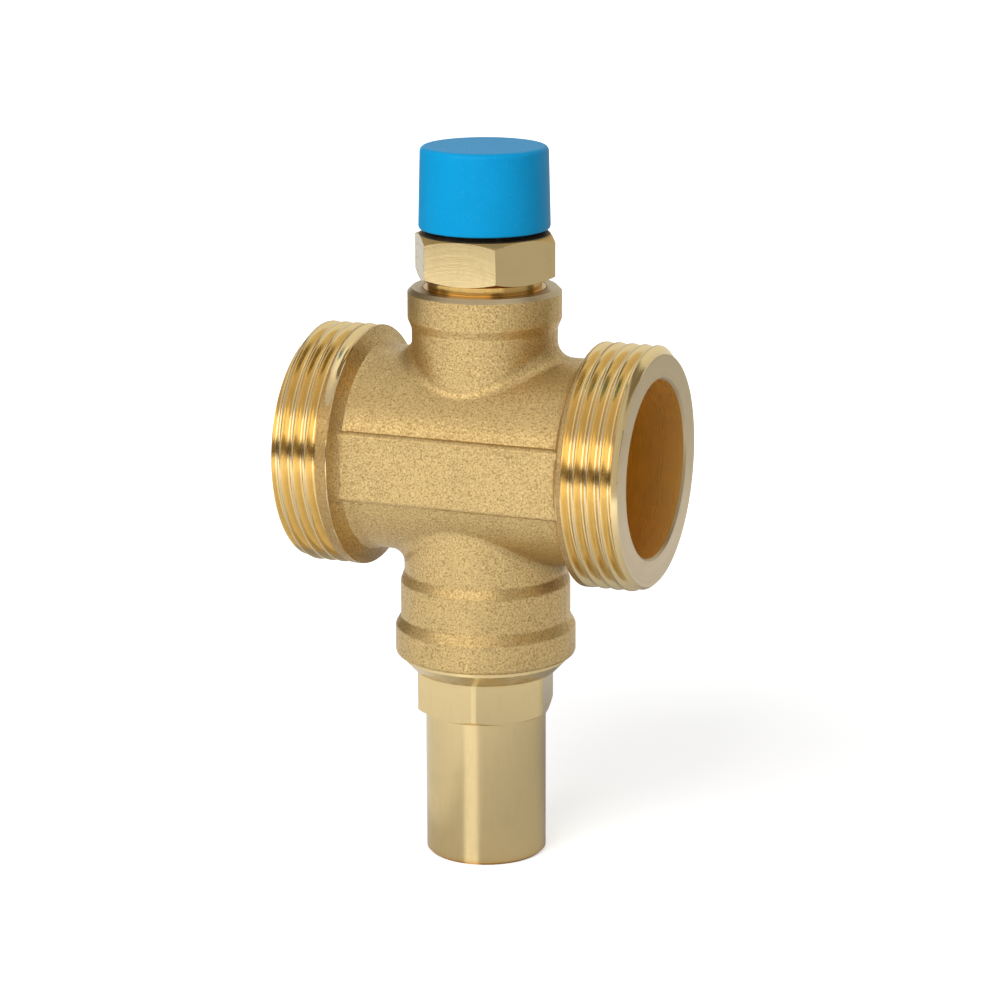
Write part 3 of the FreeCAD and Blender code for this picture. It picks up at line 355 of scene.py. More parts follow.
def cast_brass(colours):
    """Shot-blasted brass: fine grain, painted shade in corners, browner on the flanges, a faint parting
    line.
    """
    mat = Finish("cast_brass")
    grain = mat.noise(0.32, 2)
    dimples = mat.dimples(0.5)
    patches = mat.noise(7, 2)
    # Painted shade: the body is drawn towards the recess colour where ambient occlusion over 8 mm finds
    # it closed in.
    tan = mat.step(mat.openness(8), 0.3, 0.85)
    tint = mat.mix(tan, colours.cast_dark_and_painted_shade, colours.cast)
    tint = mat.mix(mat.step(patches, 0.42, 0.72) * 0.22, tint, scaled(colours.cast, 0.72))
    tint = mat.mix(mat.step(grain, 0.50, 0.68) * 0.6, tint, colours.cast_dark_and_painted_shade)
    # Pale grain specks: partly the grain's own tone, partly a painted sparkle.
    tint = mat.mix(mat.step(grain, 0.48, 0.30) * 0.5, tint, scaled(colours.cast, 1.4))
    seam = 1 - mat.step(abs(mat.y + (patches - 0.5) * 0.5), 0.08, 0.26)
    tint = mat.mix(seam * 0.35, tint, colours.cast_dark_and_painted_shade)
    crest = CREST_RADIUS / MM
    flange = mat.step(mat.radius_x(), crest - 0.4, crest - 0.1) * mat.step(abs(mat.x), 19, 20)
    tint = mat.mix(flange * 0.55, tint, colours.cast_dark_and_painted_shade)
    mat.set(base_color=tint, metallic=0.9, specular_ior_level=0.3)
    mat.set(roughness=mat.step(grain, 0.3, 0.7) * 0.14 + 0.34)
    mat.relief(grain * 0.6 + dimples * 0.5 + seam * 0.5, 0.07, 1.0)
    return mat.material


def thread_brass(colours):
    """Polished thread: fine marks along the groove, painted shade that darkens its root."""
    mat = Finish("thread_brass")
    around = mat.noise(0.8, 2, (0.25, 3, 3))
    stain = mat.noise(3, 2)
    radius = mat.radius_x()
    crest = CREST_RADIUS / MM
    # Painted shade: the groove's root is darker than its crest.
    depth = mat.step(radius, crest - 1.55, crest - 0.15)
    tint = mat.mix(depth, scaled(colours.thread, 0.86), colours.thread)
    tint = mat.mix(mat.step(radius, crest - 0.22, crest - 0.02) * 0.6, tint, colours.faced)
    tint = mat.mix(mat.step(stain, 0.5, 0.75) * 0.2, tint, scaled(colours.thread, 0.7))
    mat.set(base_color=tint, metallic=1.0, roughness=around * 0.12 + 0.12)
    mat.relief(around, 0.02, 0.5)
    return mat.material


def faced_brass(colours):
    """Flat faces cut on a lathe: fine rings about whichever axis the face stands on."""
    mat = Finish("faced_brass")
    port = mat.step(abs(mat.x), 28, 28.2)
    radius = mat.radius_x() * port + mat.radius_z() * (1 - port)
    fine = mat.rings(radius, 0.16)
    broad = mat.rings(radius + 40, 0.9)
    stain = mat.noise(5, 3)
    tint = mat.mix(mat.step(fine, 0.45, 0.7) * 0.35, colours.faced, scaled(colours.faced, 0.78))
    tint = mat.mix(mat.step(stain, 0.5, 0.72) * 0.2, tint, scaled(colours.faced, 0.7))
    mat.set(base_color=tint, metallic=1.0, roughness=broad * 0.16 + 0.27)
    mat.relief(fine * 0.6 + broad * 0.4, 0.015, 0.6)
    return mat.material


def bored_brass(colours):
    """Inside of the body: bored rings along the pipe and along the bosses, with painted light that makes
    it paler near the ports.
    """
    mat = Finish("bored_brass")
    wall = PIPE_WALL / MM
    pipe = 1 - mat.step(mat.radius_x(), wall, wall + 0.3)
    along = mat.x * pipe + mat.z * (1 - pipe)
    fine = mat.rings(along, 0.22)
    broad = mat.rings(along + 60, 1.6)
    stain = mat.noise(6, 3)
    tint = mat.mix(mat.step(fine, 0.4, 0.7) * 0.4, colours.bored, scaled(colours.bored, 0.72))
    tint = mat.mix(mat.step(stain, 0.45, 0.7) * 0.25, tint, scaled(colours.bored, 0.65))
    tint = mat.mix(mat.step(broad, 0.4, 0.65) * 0.3, tint, scaled(colours.bored, 0.7))
    # Painted light: paler towards the ports, where light comes into the bore.
    tint = mat.mix(mat.step(abs(mat.x), 18, 30) * 0.35, tint, colours.thread)
    mat.set(base_color=tint, metallic=0.55, roughness=broad * 0.14 + 0.2, specular_ior_level=0.1)
    mat.relief(fine * 0.6 + broad * 0.4, 0.02, 0.6)
    return mat.material


def turned_brass(colours):
    """Bright turned brass: rings about the upright axis, drawn marks, stains, painted shade in corners
    and on the plug's top chamfer, and a painted shadow under the cap.
    """
    mat = Finish("turned_brass")
    along = mat.z + mat.radius_z() * 0.7
    fine = mat.rings(along, 0.12)
    broad = mat.rings(along + 30, 0.8)
    scratch = mat.noise(0.5, 2, (1, 1, 9))
    stain = mat.noise(4, 3)
    # Painted shade: darker in corners, where ambient occlusion over 3 mm finds the surface closed in.
    space = mat.openness(3)
    tint = mat.mix(mat.step(space, 0.25, 0.8), colours.turned_painted_shade, colours.turned)
    # Painted shadow: near black, matt and not metal at the plug's top, where it is closed in under the
    # cap.
    height = mat.z - PLUG_TOP / MM
    gap = mat.step(height, -0.3, 0) * (1 - mat.step(space, 0.5, 0.95))
    tint = mat.mix(gap, tint, (0.004, 0.003, 0.002, 1))
    # Painted shade on the plug's top chamfer, under the cap; the chamfer is also rougher.
    out = mat.radius_z() - PLUG_HALF
    chamfer = mat.step(height + out * PLUG_SLOPE, -0.1, -0.03) * mat.step(out, -0.15, 0.05)
    tint = mat.mix(chamfer * 0.5, tint, colours.turned_painted_shade)
    tint = mat.mix(mat.step(fine, 0.45, 0.75) * 0.22, tint, scaled(colours.turned, 0.75))
    tint = mat.mix(mat.step(scratch, 0.56, 0.74) * 0.2, tint, scaled(colours.turned, 0.7))
    tint = mat.mix(mat.step(stain, 0.52, 0.74) * 0.14, tint, scaled(colours.turned, 0.7))
    marks = broad * 0.1 + scratch * 0.08
    # The painted shadow under the cap also takes away metal and adds roughness there.
    mat.set(base_color=tint, metallic=1 - gap, roughness=marks + gap * 0.7 + chamfer * 0.4 + 0.12)
    mat.relief(fine * 0.5 + broad * 0.5, 0.01, 0.5)
    return mat.material


def cap_plastic(colours):
    """Blue moulded plastic with a fine spark-eroded grain."""
    mat = Finish("cap_plastic")
    grain = mat.noise(0.32, 3)
    cloud = mat.noise(6, 2)
    tint = mat.mix(mat.step(cloud, 0.35, 0.7) * 0.25, colours.cap, scaled(colours.cap, 0.86))
    tint = mat.mix(mat.step(grain, 0.58, 0.75) * 0.2, tint, paler(colours.cap, 0.12))
    mat.set(base_color=tint, specular_ior_level=0.09)
    mat.set(roughness=mat.step(grain, 0.3, 0.7) * 0.16 + 0.36)
    mat.relief(grain, 0.03, 0.6)
    return mat.material


def white_plastic(colours):
    """Off-white moulded plastic, a little yellow with age."""
    mat = Finish("white_plastic")
    grain = mat.noise(0.4, 2)
    cloud = mat.noise(5, 2)
    tint = mat.mix(mat.step(cloud, 0.35, 0.75) * 0.4, colours.white, scaled(colours.white, 0.86))
    mat.set(base_color=tint, roughness=grain * 0.15 + 0.38)
    mat.relief(grain, 0.015, 0.5)
    return mat.material


def black_rubber(colours):
    """Matt black rubber with a dusty bloom."""
    mat = Finish("black_rubber")
    grain = mat.noise(0.25, 3)
    bloom = mat.noise(2.5, 3)
    tint = mat.mix(mat.step(bloom, 0.45, 0.75) * 0.5, colours.rubber, paler(colours.rubber, 0.05))
    mat.set(base_color=tint, roughness=grain * 0.25 + 0.5)
    mat.relief(grain, 0.02, 0.6)
    return mat.material


def spring_steel(colours):
    """Drawn steel: grey, with fine streaks and a slight stain."""
    mat = Finish("spring_steel")
    streak = mat.noise(0.3, 2)
    stain = mat.noise(2, 3)
    tint = mat.mix(mat.step(stain, 0.45, 0.7) * 0.35, colours.steel, scaled(colours.steel, 0.7))
    tint = mat.mix(mat.step(streak, 0.5, 0.8) * 0.25, tint, scaled(colours.steel, 0.6))
    mat.set(base_color=tint, metallic=1.0, roughness=streak * 0.2 + 0.2)
    mat.relief(streak, 0.01, 0.5)
    return mat.material


def finish(maker, context):
    """A finish by its maker, made once."""
    found = bpy.data.materials.get(FINISH_PREFIX + maker.__name__)
    return found or maker(context.scene.valve_finish)


def paint(node, material):
    """Give a CAD node's object a finish."""
    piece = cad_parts[node]
    if not piece.material_slots:
        piece.data.materials.append(material)
    for each in piece.material_slots:
        each.material = material


def pipe_radius(point):
    """Distance of a point from the pipe axis."""
    return math.hypot(point.y, point.z - PIPE_AXIS)


def boss_radius(point):
    """Distance of a point from the upright axis."""
    return math.hypot(point.x, point.y)


def merged(node):
    """A bmesh of a CAD node, with its loose triangles joined."""
    bm = bmesh.new()
    bm.from_mesh(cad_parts[node].data)
    bmesh.ops.remove_doubles(bm, verts=bm.verts, dist=WELD)
    return bm


def round_edges(bm, chosen, width, steps):
    """Round the edges that a test picks."""
    edges = [edge for edge in bm.edges if len(edge.link_faces) == 2 and chosen(edge)]
    bmesh.ops.bevel(
        bm, geom=edges, offset=width, offset_type="OFFSET", segments=steps, profile=0.5,
        affect="EDGES", clamp_overlap=True,
    )


def to_mesh(bm, name):
    """A mesh that shades smoothly up to the crease angle, from a closed bmesh."""
    bmesh.ops.recalc_face_normals(bm, faces=bm.faces)
    gaps = [edge for edge in bm.edges if len(edge.link_faces) != 2]
    if gaps:
        raise RuntimeError(f"{name} has {len(gaps)} open edges, near {gaps[0].verts[0].co}")
    for face in bm.faces:
        face.smooth = True
    for edge in bm.edges:
        edge.smooth = edge.calc_face_angle() < CREASE_ANGLE
    mesh = bpy.data.meshes.new(name)
    bm.to_mesh(mesh)
    bm.free()
    if "custom_normal" in mesh.attributes:
        mesh.attributes.remove(mesh.attributes["custom_normal"])
    return mesh


def link(name, mesh, materials=()):
    """An object at the origin."""
    piece = bpy.data.objects.new(name, mesh)
    bpy.context.scene.collection.objects.link(piece)
    for material in materials:
        mesh.materials.append(material)
    return piece


def weigh_normals(piece):
    """Let large faces decide the shading at their edges, and keep the result in the mesh."""
    modifier = piece.modifiers.new("weigh", "WEIGHTED_NORMAL")
    modifier.keep_sharp = True
    settle(piece, modifier)


def settle(piece, modifier):
    """Keep a modifier's result as the piece's own mesh."""
    graph = bpy.context.evaluated_depsgraph_get()
    graph.update()
    mesh = bpy.data.meshes.new_from_object(piece.evaluated_get(graph))
    mesh.name = piece.name
    piece.modifiers.remove(modifier)
    piece.data = mesh


def grow(name, tree, sizes):
    """Run a Geometry Nodes tree on an empty object and keep its mesh."""
    piece = link(name, bpy.data.meshes.new(name))
    modifier = piece.modifiers.new("grow", "NODES")
    modifier.node_group = tree
    for socket in tree.interface.items_tree:
        if socket.item_type == "SOCKET" and socket.in_out == "INPUT" and socket.name in sizes:
            modifier[socket.identifier] = sizes[socket.name]
    settle(piece, modifier)
    return piece


def new_tree(name, sizes):
    """The graph of a new Geometry Nodes tree, with its named inputs."""
    tree = bpy.data.node_groups.new(name, "GeometryNodeTree")
    tree.interface.new_socket("Geometry", in_out="INPUT", socket_type="NodeSocketGeometry")
    for label, kind in sizes:
        tree.interface.new_socket(label, in_out="INPUT", socket_type="NodeSocket" + kind)
    tree.interface.new_socket("Geometry", in_out="OUTPUT", socket_type="NodeSocketGeometry")
    graph = Graph(tree)
    given = graph.node("NodeGroupInput").outputs
    return graph, {label: Value(graph, given[label]) for label, kind in sizes}


def end_tree(graph, geometry, material):
    """Shade smooth, realize, set the material and hand the geometry out."""
    smooth = graph.node("GeometryNodeSetShadeSmooth", inputs={0: geometry})
    real = graph.node("GeometryNodeRealizeInstances", inputs={0: smooth.outputs[0]})
    inputs = {"Geometry": real.outputs[0], "Material": material}
    painted = graph.node("GeometryNodeSetMaterial", inputs=inputs)
    graph.node("NodeGroupOutput", inputs={0: painted.outputs[0]})


def move_points(graph, geometry, x, y, z):
    """Set every point's place from three fields."""
    place = graph.node("ShaderNodeCombineXYZ", inputs={0: x, 1: y, 2: z})
    inputs = {"Geometry": geometry, "Position": place.outputs[0]}
    return graph.node("GeometryNodeSetPosition", inputs=inputs).outputs[0]


def thread_tree():
    """A grid whose rows follow the helix, laid round the pipe axis and cut to the thread's form."""
    graph, given = new_tree("port_thread", [
        ("Crest Radius", "Float"), ("Depth", "Float"), ("Pitch", "Float"), ("Run", "Float"),
        ("Cover", "Float"), ("Lead", "Float"), ("Chamfer", "Float"), ("Flange Edge", "Float"),
        ("Fade Start", "Float"), ("Fade End", "Float"), ("Start", "Float"), ("Side", "Float"),
        ("Axis Height", "Float"), ("Columns", "Int"), ("Lines", "Int"), ("Material", "Material"),
    ])
    inputs = {0: 1, 1: 1, 2: given["Columns"], 3: given["Lines"]}
    grid = graph.node("GeometryNodeMeshGrid", inputs=inputs).outputs[0]
    across, along, _ = graph.parts(graph.node("GeometryNodeInputPosition").outputs[0])
    turn = across + 0.5
    lead = given["Side"] * across + 0.5
    pitch = given["Pitch"]
    # Rows start up to two pitches before the port, and are held within its run.
    raw = (along + 0.5) * given["Cover"] + (lead - 2) * pitch + given["Lead"]
    inside = graph.math("MAXIMUM", graph.math("MINIMUM", raw, given["Run"]), 0)
    phase = graph.math("FRACT", (inside - given["Lead"]) / pitch - lead + 3)
    groove = 1 - graph.step(abs(phase - 0.5), 0.026, 0.472)
    middle = inside - (phase - 0.5) * pitch
    fade = graph.step(middle, given["Fade Start"], given["Fade End"])
    crest = given["Crest Radius"]
    cut = crest - given["Depth"] * groove * fade
    bevel = crest - given["Chamfer"] + given["Run"] - inside
    corner = crest - given["Flange Edge"] + inside
    radius = graph.math("MINIMUM", graph.math("MINIMUM", cut, bevel), corner)
    theta = turn * math.tau
    shaped = move_points(
        graph, grid,
        given["Start"] + given["Side"] * inside,
        radius * graph.math("COSINE", theta),
        given["Axis Height"] + radius * graph.math("SINE", theta),
    )
    inputs = {"Geometry": shaped, "Distance": WELD}
    closed = graph.node("GeometryNodeMergeByDistance", inputs=inputs).outputs[0]
    end_tree(graph, closed, given["Material"])
    return graph.tree


def spring_tree():
    """A coil of round wire, with its end turns closed up."""
    graph, given = new_tree("coil_spring", [
        ("Mean Radius", "Float"), ("Wire", "Float"), ("Turns", "Float"), ("Floor", "Float"),
        ("Height", "Float"), ("End Flatness", "Float"), ("Material", "Material"),
    ])
    inputs = {
        "Resolution": COIL_STEPS, "Rotations": given["Turns"], "Start Radius": given["Mean Radius"],
        "End Radius": given["Mean Radius"], "Height": given["Height"],
    }
    coil = graph.node("GeometryNodeCurveSpiral", inputs=inputs).outputs[0]
    x, y, z = graph.parts(graph.node("GeometryNodeInputPosition").outputs[0])
    share = z / given["Height"]
    ease = graph.math("SINE", share * math.tau) * given["End Flatness"] / math.tau
    wire = given["Wire"]
    lift = given["Floor"] + wire * 0.5 + (given["Height"] - wire) * (share - ease)
    shaped = move_points(graph, coil, x, y, lift)
    inputs = {"Resolution": WIRE_SIDES, "Radius": wire * 0.5}
    section = graph.node("GeometryNodeCurvePrimitiveCircle", inputs=inputs).outputs[0]
    inputs = {"Curve": shaped, "Profile Curve": section, "Fill Caps": True}
    solid = graph.node("GeometryNodeCurveToMesh", inputs=inputs).outputs[0]
    end_tree(graph, solid, given["Material"])
    return graph.tree


def boundary_ring(bm, along):
    """Open vertices at a place along the pipe, in order of their angle about its axis."""
    found = [vert for vert in bm.verts if vert.is_boundary and abs(vert.co.x - along) < NEAR]
    if len(found) < 12:
        raise RuntimeError(f"no ring at {along}")
    return sorted(found, key=lambda vert: math.atan2(vert.co.z - PIPE_AXIS, vert.co.y))


def new_ring(bm, along, radius, count):
    """New vertices on a circle about the pipe axis, in order of their angle."""
    ring = []
    for index in range(count):
        theta = -math.pi + math.tau * index / count
        place = (along, radius * math.cos(theta), PIPE_AXIS + radius * math.sin(theta))
        ring.append(bm.verts.new(place))
    return ring


def zip_rings(bm, first, second, region):
    """Close the gap between two rings, stepping on whichever one lags behind."""
    index = other = 0
    while index < len(first) or other < len(second):
        here = first[index % len(first)]
        there = second[other % len(second)]
        if index / len(first) <= other / len(second):
            index += 1
            ahead = first[index % len(first)]
        else:
            other += 1
            ahead = second[other % len(second)]
        bm.faces.new((here, there, ahead)).material_index = region


CAST, THREAD, FACED, BORED = range(4)


def body_region(face):
    """Which finish a face of the body has."""
    middle = face.calc_center_median()
    wall = UPPER_WALL if middle.z > PIPE_AXIS else LOWER_WALL
    if pipe_radius(middle) < PIPE_WALL:
        return BORED
    if middle.z > BOSS_TOP - RIM_HEIGHT or middle.z < BOSS_END + NEAR:
        return FACED
    if boss_radius(middle) < wall and abs(middle.z - PIPE_AXIS) > BARREL_REACH:
        return BORED
    return CAST


def cut_port(bm, side, thread):
    """Take away the CAD's plain port, from the shoulder to the bore."""
    def plain(face):
        middle = face.calc_center_median()
        outer = side * middle.x > thread.shoulder_x and pipe_radius(middle) > thread.shoulder_radius
        mouth = side * middle.x > PORT_FACE - thread.mouth and pipe_radius(middle) > thread.bore
        return outer or mouth
    bmesh.ops.delete(bm, geom=[face for face in bm.faces if plain(face)], context="FACES")


def add_port(bm, side, thread, tree, material):
    """Fit a threaded port with its face and mouth between the shoulder and the bore."""
    lines = math.ceil((thread.run / thread.pitch + 2) * thread.rows)
    lead = thread.right_lead if side > 0 else thread.left_lead
    start = PORT_FACE - thread.run
    sizes = {
        "Crest Radius": CREST_RADIUS, "Depth": thread.depth, "Pitch": thread.pitch,
        "Run": thread.run, "Cover": lines * thread.pitch / thread.rows, "Lead": lead,
        "Chamfer": thread.chamfer, "Flange Edge": thread.flange_edge,
        "Fade Start": thread.fade_start, "Fade End": thread.fade_end, "Start": side * start,
        "Side": float(side), "Axis Height": PIPE_AXIS, "Columns": thread.segments + 1,
        "Lines": lines + 1, "Material": material,
    }
    grown = grow("thread_form", tree, sizes)
    old = set(bm.faces)
    bm.from_mesh(grown.data)
    bpy.data.objects.remove(grown)
    bmesh.ops.remove_doubles(bm, verts=bm.verts, dist=WELD)
    plain_band = thread.fade_end + 0.5 * thread.pitch
    for face in bm.faces:
        if face in old:
            continue
        middle = face.calc_center_median()
        depth = side * middle.x - start
        band = thread.flange_edge < depth < plain_band and pipe_radius(middle) > CREST_RADIUS - NEAR
        face.material_index = CAST if band else THREAD
    crest = boundary_ring(bm, side * start)
    lip = boundary_ring(bm, side * PORT_FACE)
    shoulder = boundary_ring(bm, side * thread.shoulder_x)
    bore = boundary_ring(bm, side * (PORT_FACE - thread.mouth))
    inner = new_ring(bm, side * PORT_FACE, thread.face_inner, thread.segments)
    zip_rings(bm, shoulder, crest, CAST)
    zip_rings(bm, lip, inner, FACED)
    zip_rings(bm, inner, bore, FACED)


class VALVE_OT_body(bpy.types.Operator):
    """Cast body with its two threaded ports"""

    bl_idname = "valve.body"
    bl_label = "Body"

    def execute(self, context):
        thread = context.scene.valve_thread
        materials = [
            finish(maker, context) for maker in (cast_brass, thread_brass, faced_brass, bored_brass)
        ]
        bm = merged("valve_body")
        for face in bm.faces:
            face.material_index = body_region(face)
        tree = thread_tree()
        for side in (1, -1):
            cut_port(bm, side, thread)
            add_port(bm, side, thread, tree, materials[THREAD])

        def boss_ring(edge):
            first, second = (vert.co for vert in edge.verts)
            level = abs(first.z - second.z) < NEAR
            round_it = abs(boss_radius(first) - boss_radius(second)) < NEAR
            wall = UPPER_WALL if first.z > PIPE_AXIS else LOWER_WALL
            on_boss = wall + 0.05 * MM < boss_radius(first) < BOSS_REACH
            outside = abs(first.z - PIPE_AXIS) > BARREL_REACH and first.z < BOSS_TOP - 1 * MM
            return level and round_it and on_boss and outside and edge.calc_face_angle() > 0.2

        round_edges(bm, boss_ring, CAST_ROUND, 4)
        piece = link("valve_body_cast", to_mesh(bm, "valve_body_cast"), materials)
        weigh_normals(piece)
        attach(piece, "valve")
        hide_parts("valve_body")
        return {"FINISHED"}


def rounded_piece(node, name, material, width, outside):
    """A CAD node again, with the sharp edges that show rounded."""
    bm = merged(node)
    bmesh.ops.dissolve_limit(bm, angle_limit=FLAT_ANGLE, verts=bm.verts, edges=bm.edges)

    def sharp(edge):
        return edge.calc_face_angle() > SHARP_ANGLE and all(outside(vert.co) for vert in edge.verts)

    round_edges(bm, sharp, width, 2)
    bmesh.ops.triangulate(bm, faces=[face for face in bm.faces if len(face.verts) > 4])
    piece = link(name, to_mesh(bm, name), [material])
    weigh_normals(piece)
    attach(piece, "valve")
    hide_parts(node)


class VALVE_OT_plug(bpy.types.Operator):
    """Vacuum breaker's hexagon plug"""

    bl_idname = "valve.plug"
    bl_label = "Breaker plug"

    def execute(self, context):
        rounded_piece(
            "breaker_body", "breaker_plug", finish(turned_brass, context),
            TURNED_ROUND,
            lambda point: point.z > BOSS_TOP + 1 * MM and boss_radius(point) > PLUG_INSIDE,
        )
        return {"FINISHED"}


class VALVE_OT_cap(bpy.types.Operator):
    """Blue vent cap over the breaker"""

    bl_idname = "valve.cap"
    bl_label = "Vent cap"

    def execute(self, context):
        rounded_piece(
            "vent_cap", "vent_cap_moulded", finish(cap_plastic, context),
            CAP_ROUND,
            lambda point: point.z < CAP_RIM + NEAR and boss_radius(point) > CAP_INSIDE,
        )
        return {"FINISHED"}


class VALVE_OT_insert(bpy.types.Operator):
    """Drain insert with its hexagon and outlet tube"""

    bl_idname = "valve.insert"
    bl_label = "Drain insert"

    def execute(self, context):
        rounded_piece(
            "drain_insert", "drain_insert_turned", finish(turned_brass, context),
            TURNED_ROUND,
            lambda point: point.z < BOSS_END + NEAR and boss_radius(point) > INSERT_INSIDE,
        )
        return {"FINISHED"}


class VALVE_OT_springs(bpy.types.Operator):
    """Three coil springs, each between the valve and the piece that it moves"""

    bl_idname = "valve.springs"
    bl_label = "Springs"

    def execute(self, context):
        sizes = context.scene.valve_springs
        material = finish(spring_steel, context)
        tree = spring_tree()
        coils = [
            ("breaker_spring", sizes.breaker_wire, sizes.breaker_turns, "breaker", False),
            ("opening_spring", sizes.opening_wire, sizes.opening_turns, "shutter", False),
            ("overtravel_spring", sizes.overtravel_wire, sizes.overtravel_turns, "element", True),
        ]
        for node, wire, turns, mover, held_above in coils:
            low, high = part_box(node)
            piece = grow(node + "_coil", tree, {
                "Mean Radius": high.x - wire / 2, "Wire": wire, "Turns": turns, "Floor": low.z,
                "Height": high.z - low.z, "End Flatness": sizes.end_flatness,
                "Material": material,
            })
            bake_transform(piece)
            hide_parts(node)
        return {"FINISHED"}


class VALVE_OT_inner(bpy.types.Operator):
    """Finishes of the pieces inside, whose shapes come from the CAD"""

    bl_idname = "valve.inner"
    bl_label = "Inner pieces"

    def execute(self, context):
        finishes = {
            turned_brass: ("spring_seat", "drain_shutter", "wax_guide", "wax_capsule"),
            white_plastic: ("breaker_poppet", "element_cage"),
            black_rubber: ("breaker_o_ring", "drain_o_ring", "poppet_seal", "shutter_seal"),
            spring_steel: ("spring_clip", "retaining_ring", "wax_piston", "cage_cap"),
        }
        for maker, nodes in finishes.items():
            for node in nodes:
                paint(node, finish(maker, context))
        return {"FINISHED"}


def toward(azimuth, elevation):
    """Direction from the valve, with azimuth 0 in front and 90 on the right."""
    return Vector((
        math.sin(azimuth) * math.cos(elevation),
        -math.cos(azimuth) * math.cos(elevation),
        math.sin(elevation),
    ))


def turned_to(direction):
    """Rotation that points a lamp along a direction."""
    return direction.to_track_quat("-Z", "Y").to_matrix().to_4x4()


def add_camera(studio):
    """Camera at the photograph's angle."""
    back = toward(studio.azimuth, studio.elevation)
    upright = Vector((0, 0, 1))
    side = (-back).cross(upright).normalized()
    over = side.cross(-back)
    ahead = -back + side * math.tan(studio.yaw) + over * math.tan(studio.pitch)
    ahead.normalize()
    side = ahead.cross(upright).normalized()
    over = side.cross(ahead)
    roll_cos = math.cos(studio.roll)
    roll_sin = math.sin(studio.roll)
    right = side * roll_cos + over * roll_sin
    above = over * roll_cos - side * roll_sin
    data = bpy.data.cameras.new("camera")
    data.sensor_width = 36
    data.lens = studio.focal
    data.clip_start = 0.01
    camera = bpy.data.objects.new("camera", data)
    bpy.context.scene.collection.objects.link(camera)
    turn = Matrix((right, above, -ahead)).transposed().to_4x4()
    centre = Vector((0, 0, PIPE_AXIS))
    camera.matrix_world = Matrix.Translation(centre + back * studio.distance) @ turn
    bpy.context.scene.camera = camera


def add_lamp(name, azimuth, elevation, distance, width, height, power):
    """Soft box that faces the valve, placed by degrees and metres."""
    data = bpy.data.lights.new(name, "AREA")
    data.shape = "RECTANGLE"
    data.size = width
    data.size_y = height
    data.energy = power
    lamp = bpy.data.objects.new(name, data)
    lamp.visible_glossy = False
    bpy.context.scene.collection.objects.link(lamp)
    way = toward(math.radians(azimuth), math.radians(elevation))
    place = Vector((0, 0, PIPE_AXIS)) + way * distance
    lamp.matrix_world = Matrix.Translation(place) @ turned_to(-way)


def ray_flags(graph):
    """1 or 0 for each kind of ray: camera, glossy and transmission."""
    path = graph.node("ShaderNodeLightPath").outputs
    names = ("Is Camera Ray", "Is Glossy Ray", "Is Transmission Ray")
    return [Value(graph, path[name]) for name in names]


def add_world(studio):
    """White all round, and dimmer as light."""
    world = bpy.data.worlds.new("studio")
    world.use_nodes = True
    world.node_tree.nodes.clear()
    graph = Graph(world.node_tree)
    camera, glossy, through = ray_flags(graph)
    seen = graph.math("MINIMUM", camera + glossy + through, 1)
    strength = seen * (1 - studio.ambience) + studio.ambience
    inputs = {"Color": (1, 1, 1, 1), "Strength": strength}
    backdrop = graph.node("ShaderNodeBackground", inputs=inputs)
    graph.node("ShaderNodeOutputWorld", inputs={"Surface": backdrop.outputs[0]})
    bpy.context.scene.world = world


def add_floor():
    """Pale floor that turns white further out. Metal reflects a bright strip and left side of it."""
    bm = bmesh.new()
    bmesh.ops.create_circle(bm, cap_ends=True, segments=96, radius=3)
    mesh = bpy.data.meshes.new("floor")
    bm.to_mesh(mesh)
    bm.free()
    mat = Finish("floor_paper")
    grain = mat.noise(0.6, 2)
    paper = mat.mix(grain * 0.1, (0.8, 0.8, 0.8, 1), (0.77, 0.77, 0.77, 1))
    far = mat.step(mat.radius_z(), FLOOR_GREY, FLOOR_WHITE)
    camera, glossy, through = ray_flags(mat)
    away = mat.math("MAXIMUM", -TUBE_RADIUS - mat.y, 0)
    aside = abs(mat.x - STRIP_SHIFT + away * STRIP_LEAN) / (away * STRIP_SPREAD + STRIP_HALF)
    strip = mat.step(mat.y, 0, -6) * (1 - mat.step(aside, 0.55, 1.15)) * 0.55
    seen = (camera + through) * (far * 0.42 + 0.58)
    beside = mat.step(mat.x, -15, -35) * (1 - mat.step(mat.radius_z(), 100, 160)) * 0.25
    glow = seen + glossy * mat.math("MINIMUM", mat.math("MAXIMUM", far, strip) + beside, 1)
    light = mat.mix(glow, (0, 0, 0, 1), (1, 1, 1, 1))
    mat.set(base_color=paper, roughness=0.9, emission_color=light, emission_strength=1)
    floor = link("floor", mesh, [mat.material])


def add_card(name, azimuths, elevations, distance, shade):
    """Curved card that only reflections see."""
    bm = bmesh.new()
    columns = 24
    rows = 6
    grid = []
    for row in range(rows + 1):
        rise = elevations[0] + (elevations[1] - elevations[0]) * row / rows
        line = []
        for column in range(columns + 1):
            sweep = azimuths[0] + (azimuths[1] - azimuths[0]) * column / columns
            way = toward(math.radians(sweep), math.radians(rise))
            line.append(bm.verts.new(Vector((0, 0, PIPE_AXIS)) + way * distance))
        grid.append(line)
    for below, above in zip(grid, grid[1:]):
        for column in range(columns):
            bm.faces.new((below[column], below[column + 1], above[column + 1], above[column]))
    mesh = bpy.data.meshes.new(name)
    bm.to_mesh(mesh)
    bm.free()
    material = bpy.data.materials.new(name)
    material.use_nodes = True
    material.node_tree.nodes.clear()
    graph = Graph(material.node_tree)
    inputs = {"Color": (*shade, 1), "Strength": 1}
    glow = graph.node("ShaderNodeEmission", inputs=inputs)
    graph.node("ShaderNodeOutputMaterial", inputs={"Surface": glow.outputs[0]})
    card = link(name, mesh, [material])
    card.visible_camera = False
    card.visible_diffuse = False
    card.visible_transmission = False
    card.visible_shadow = False


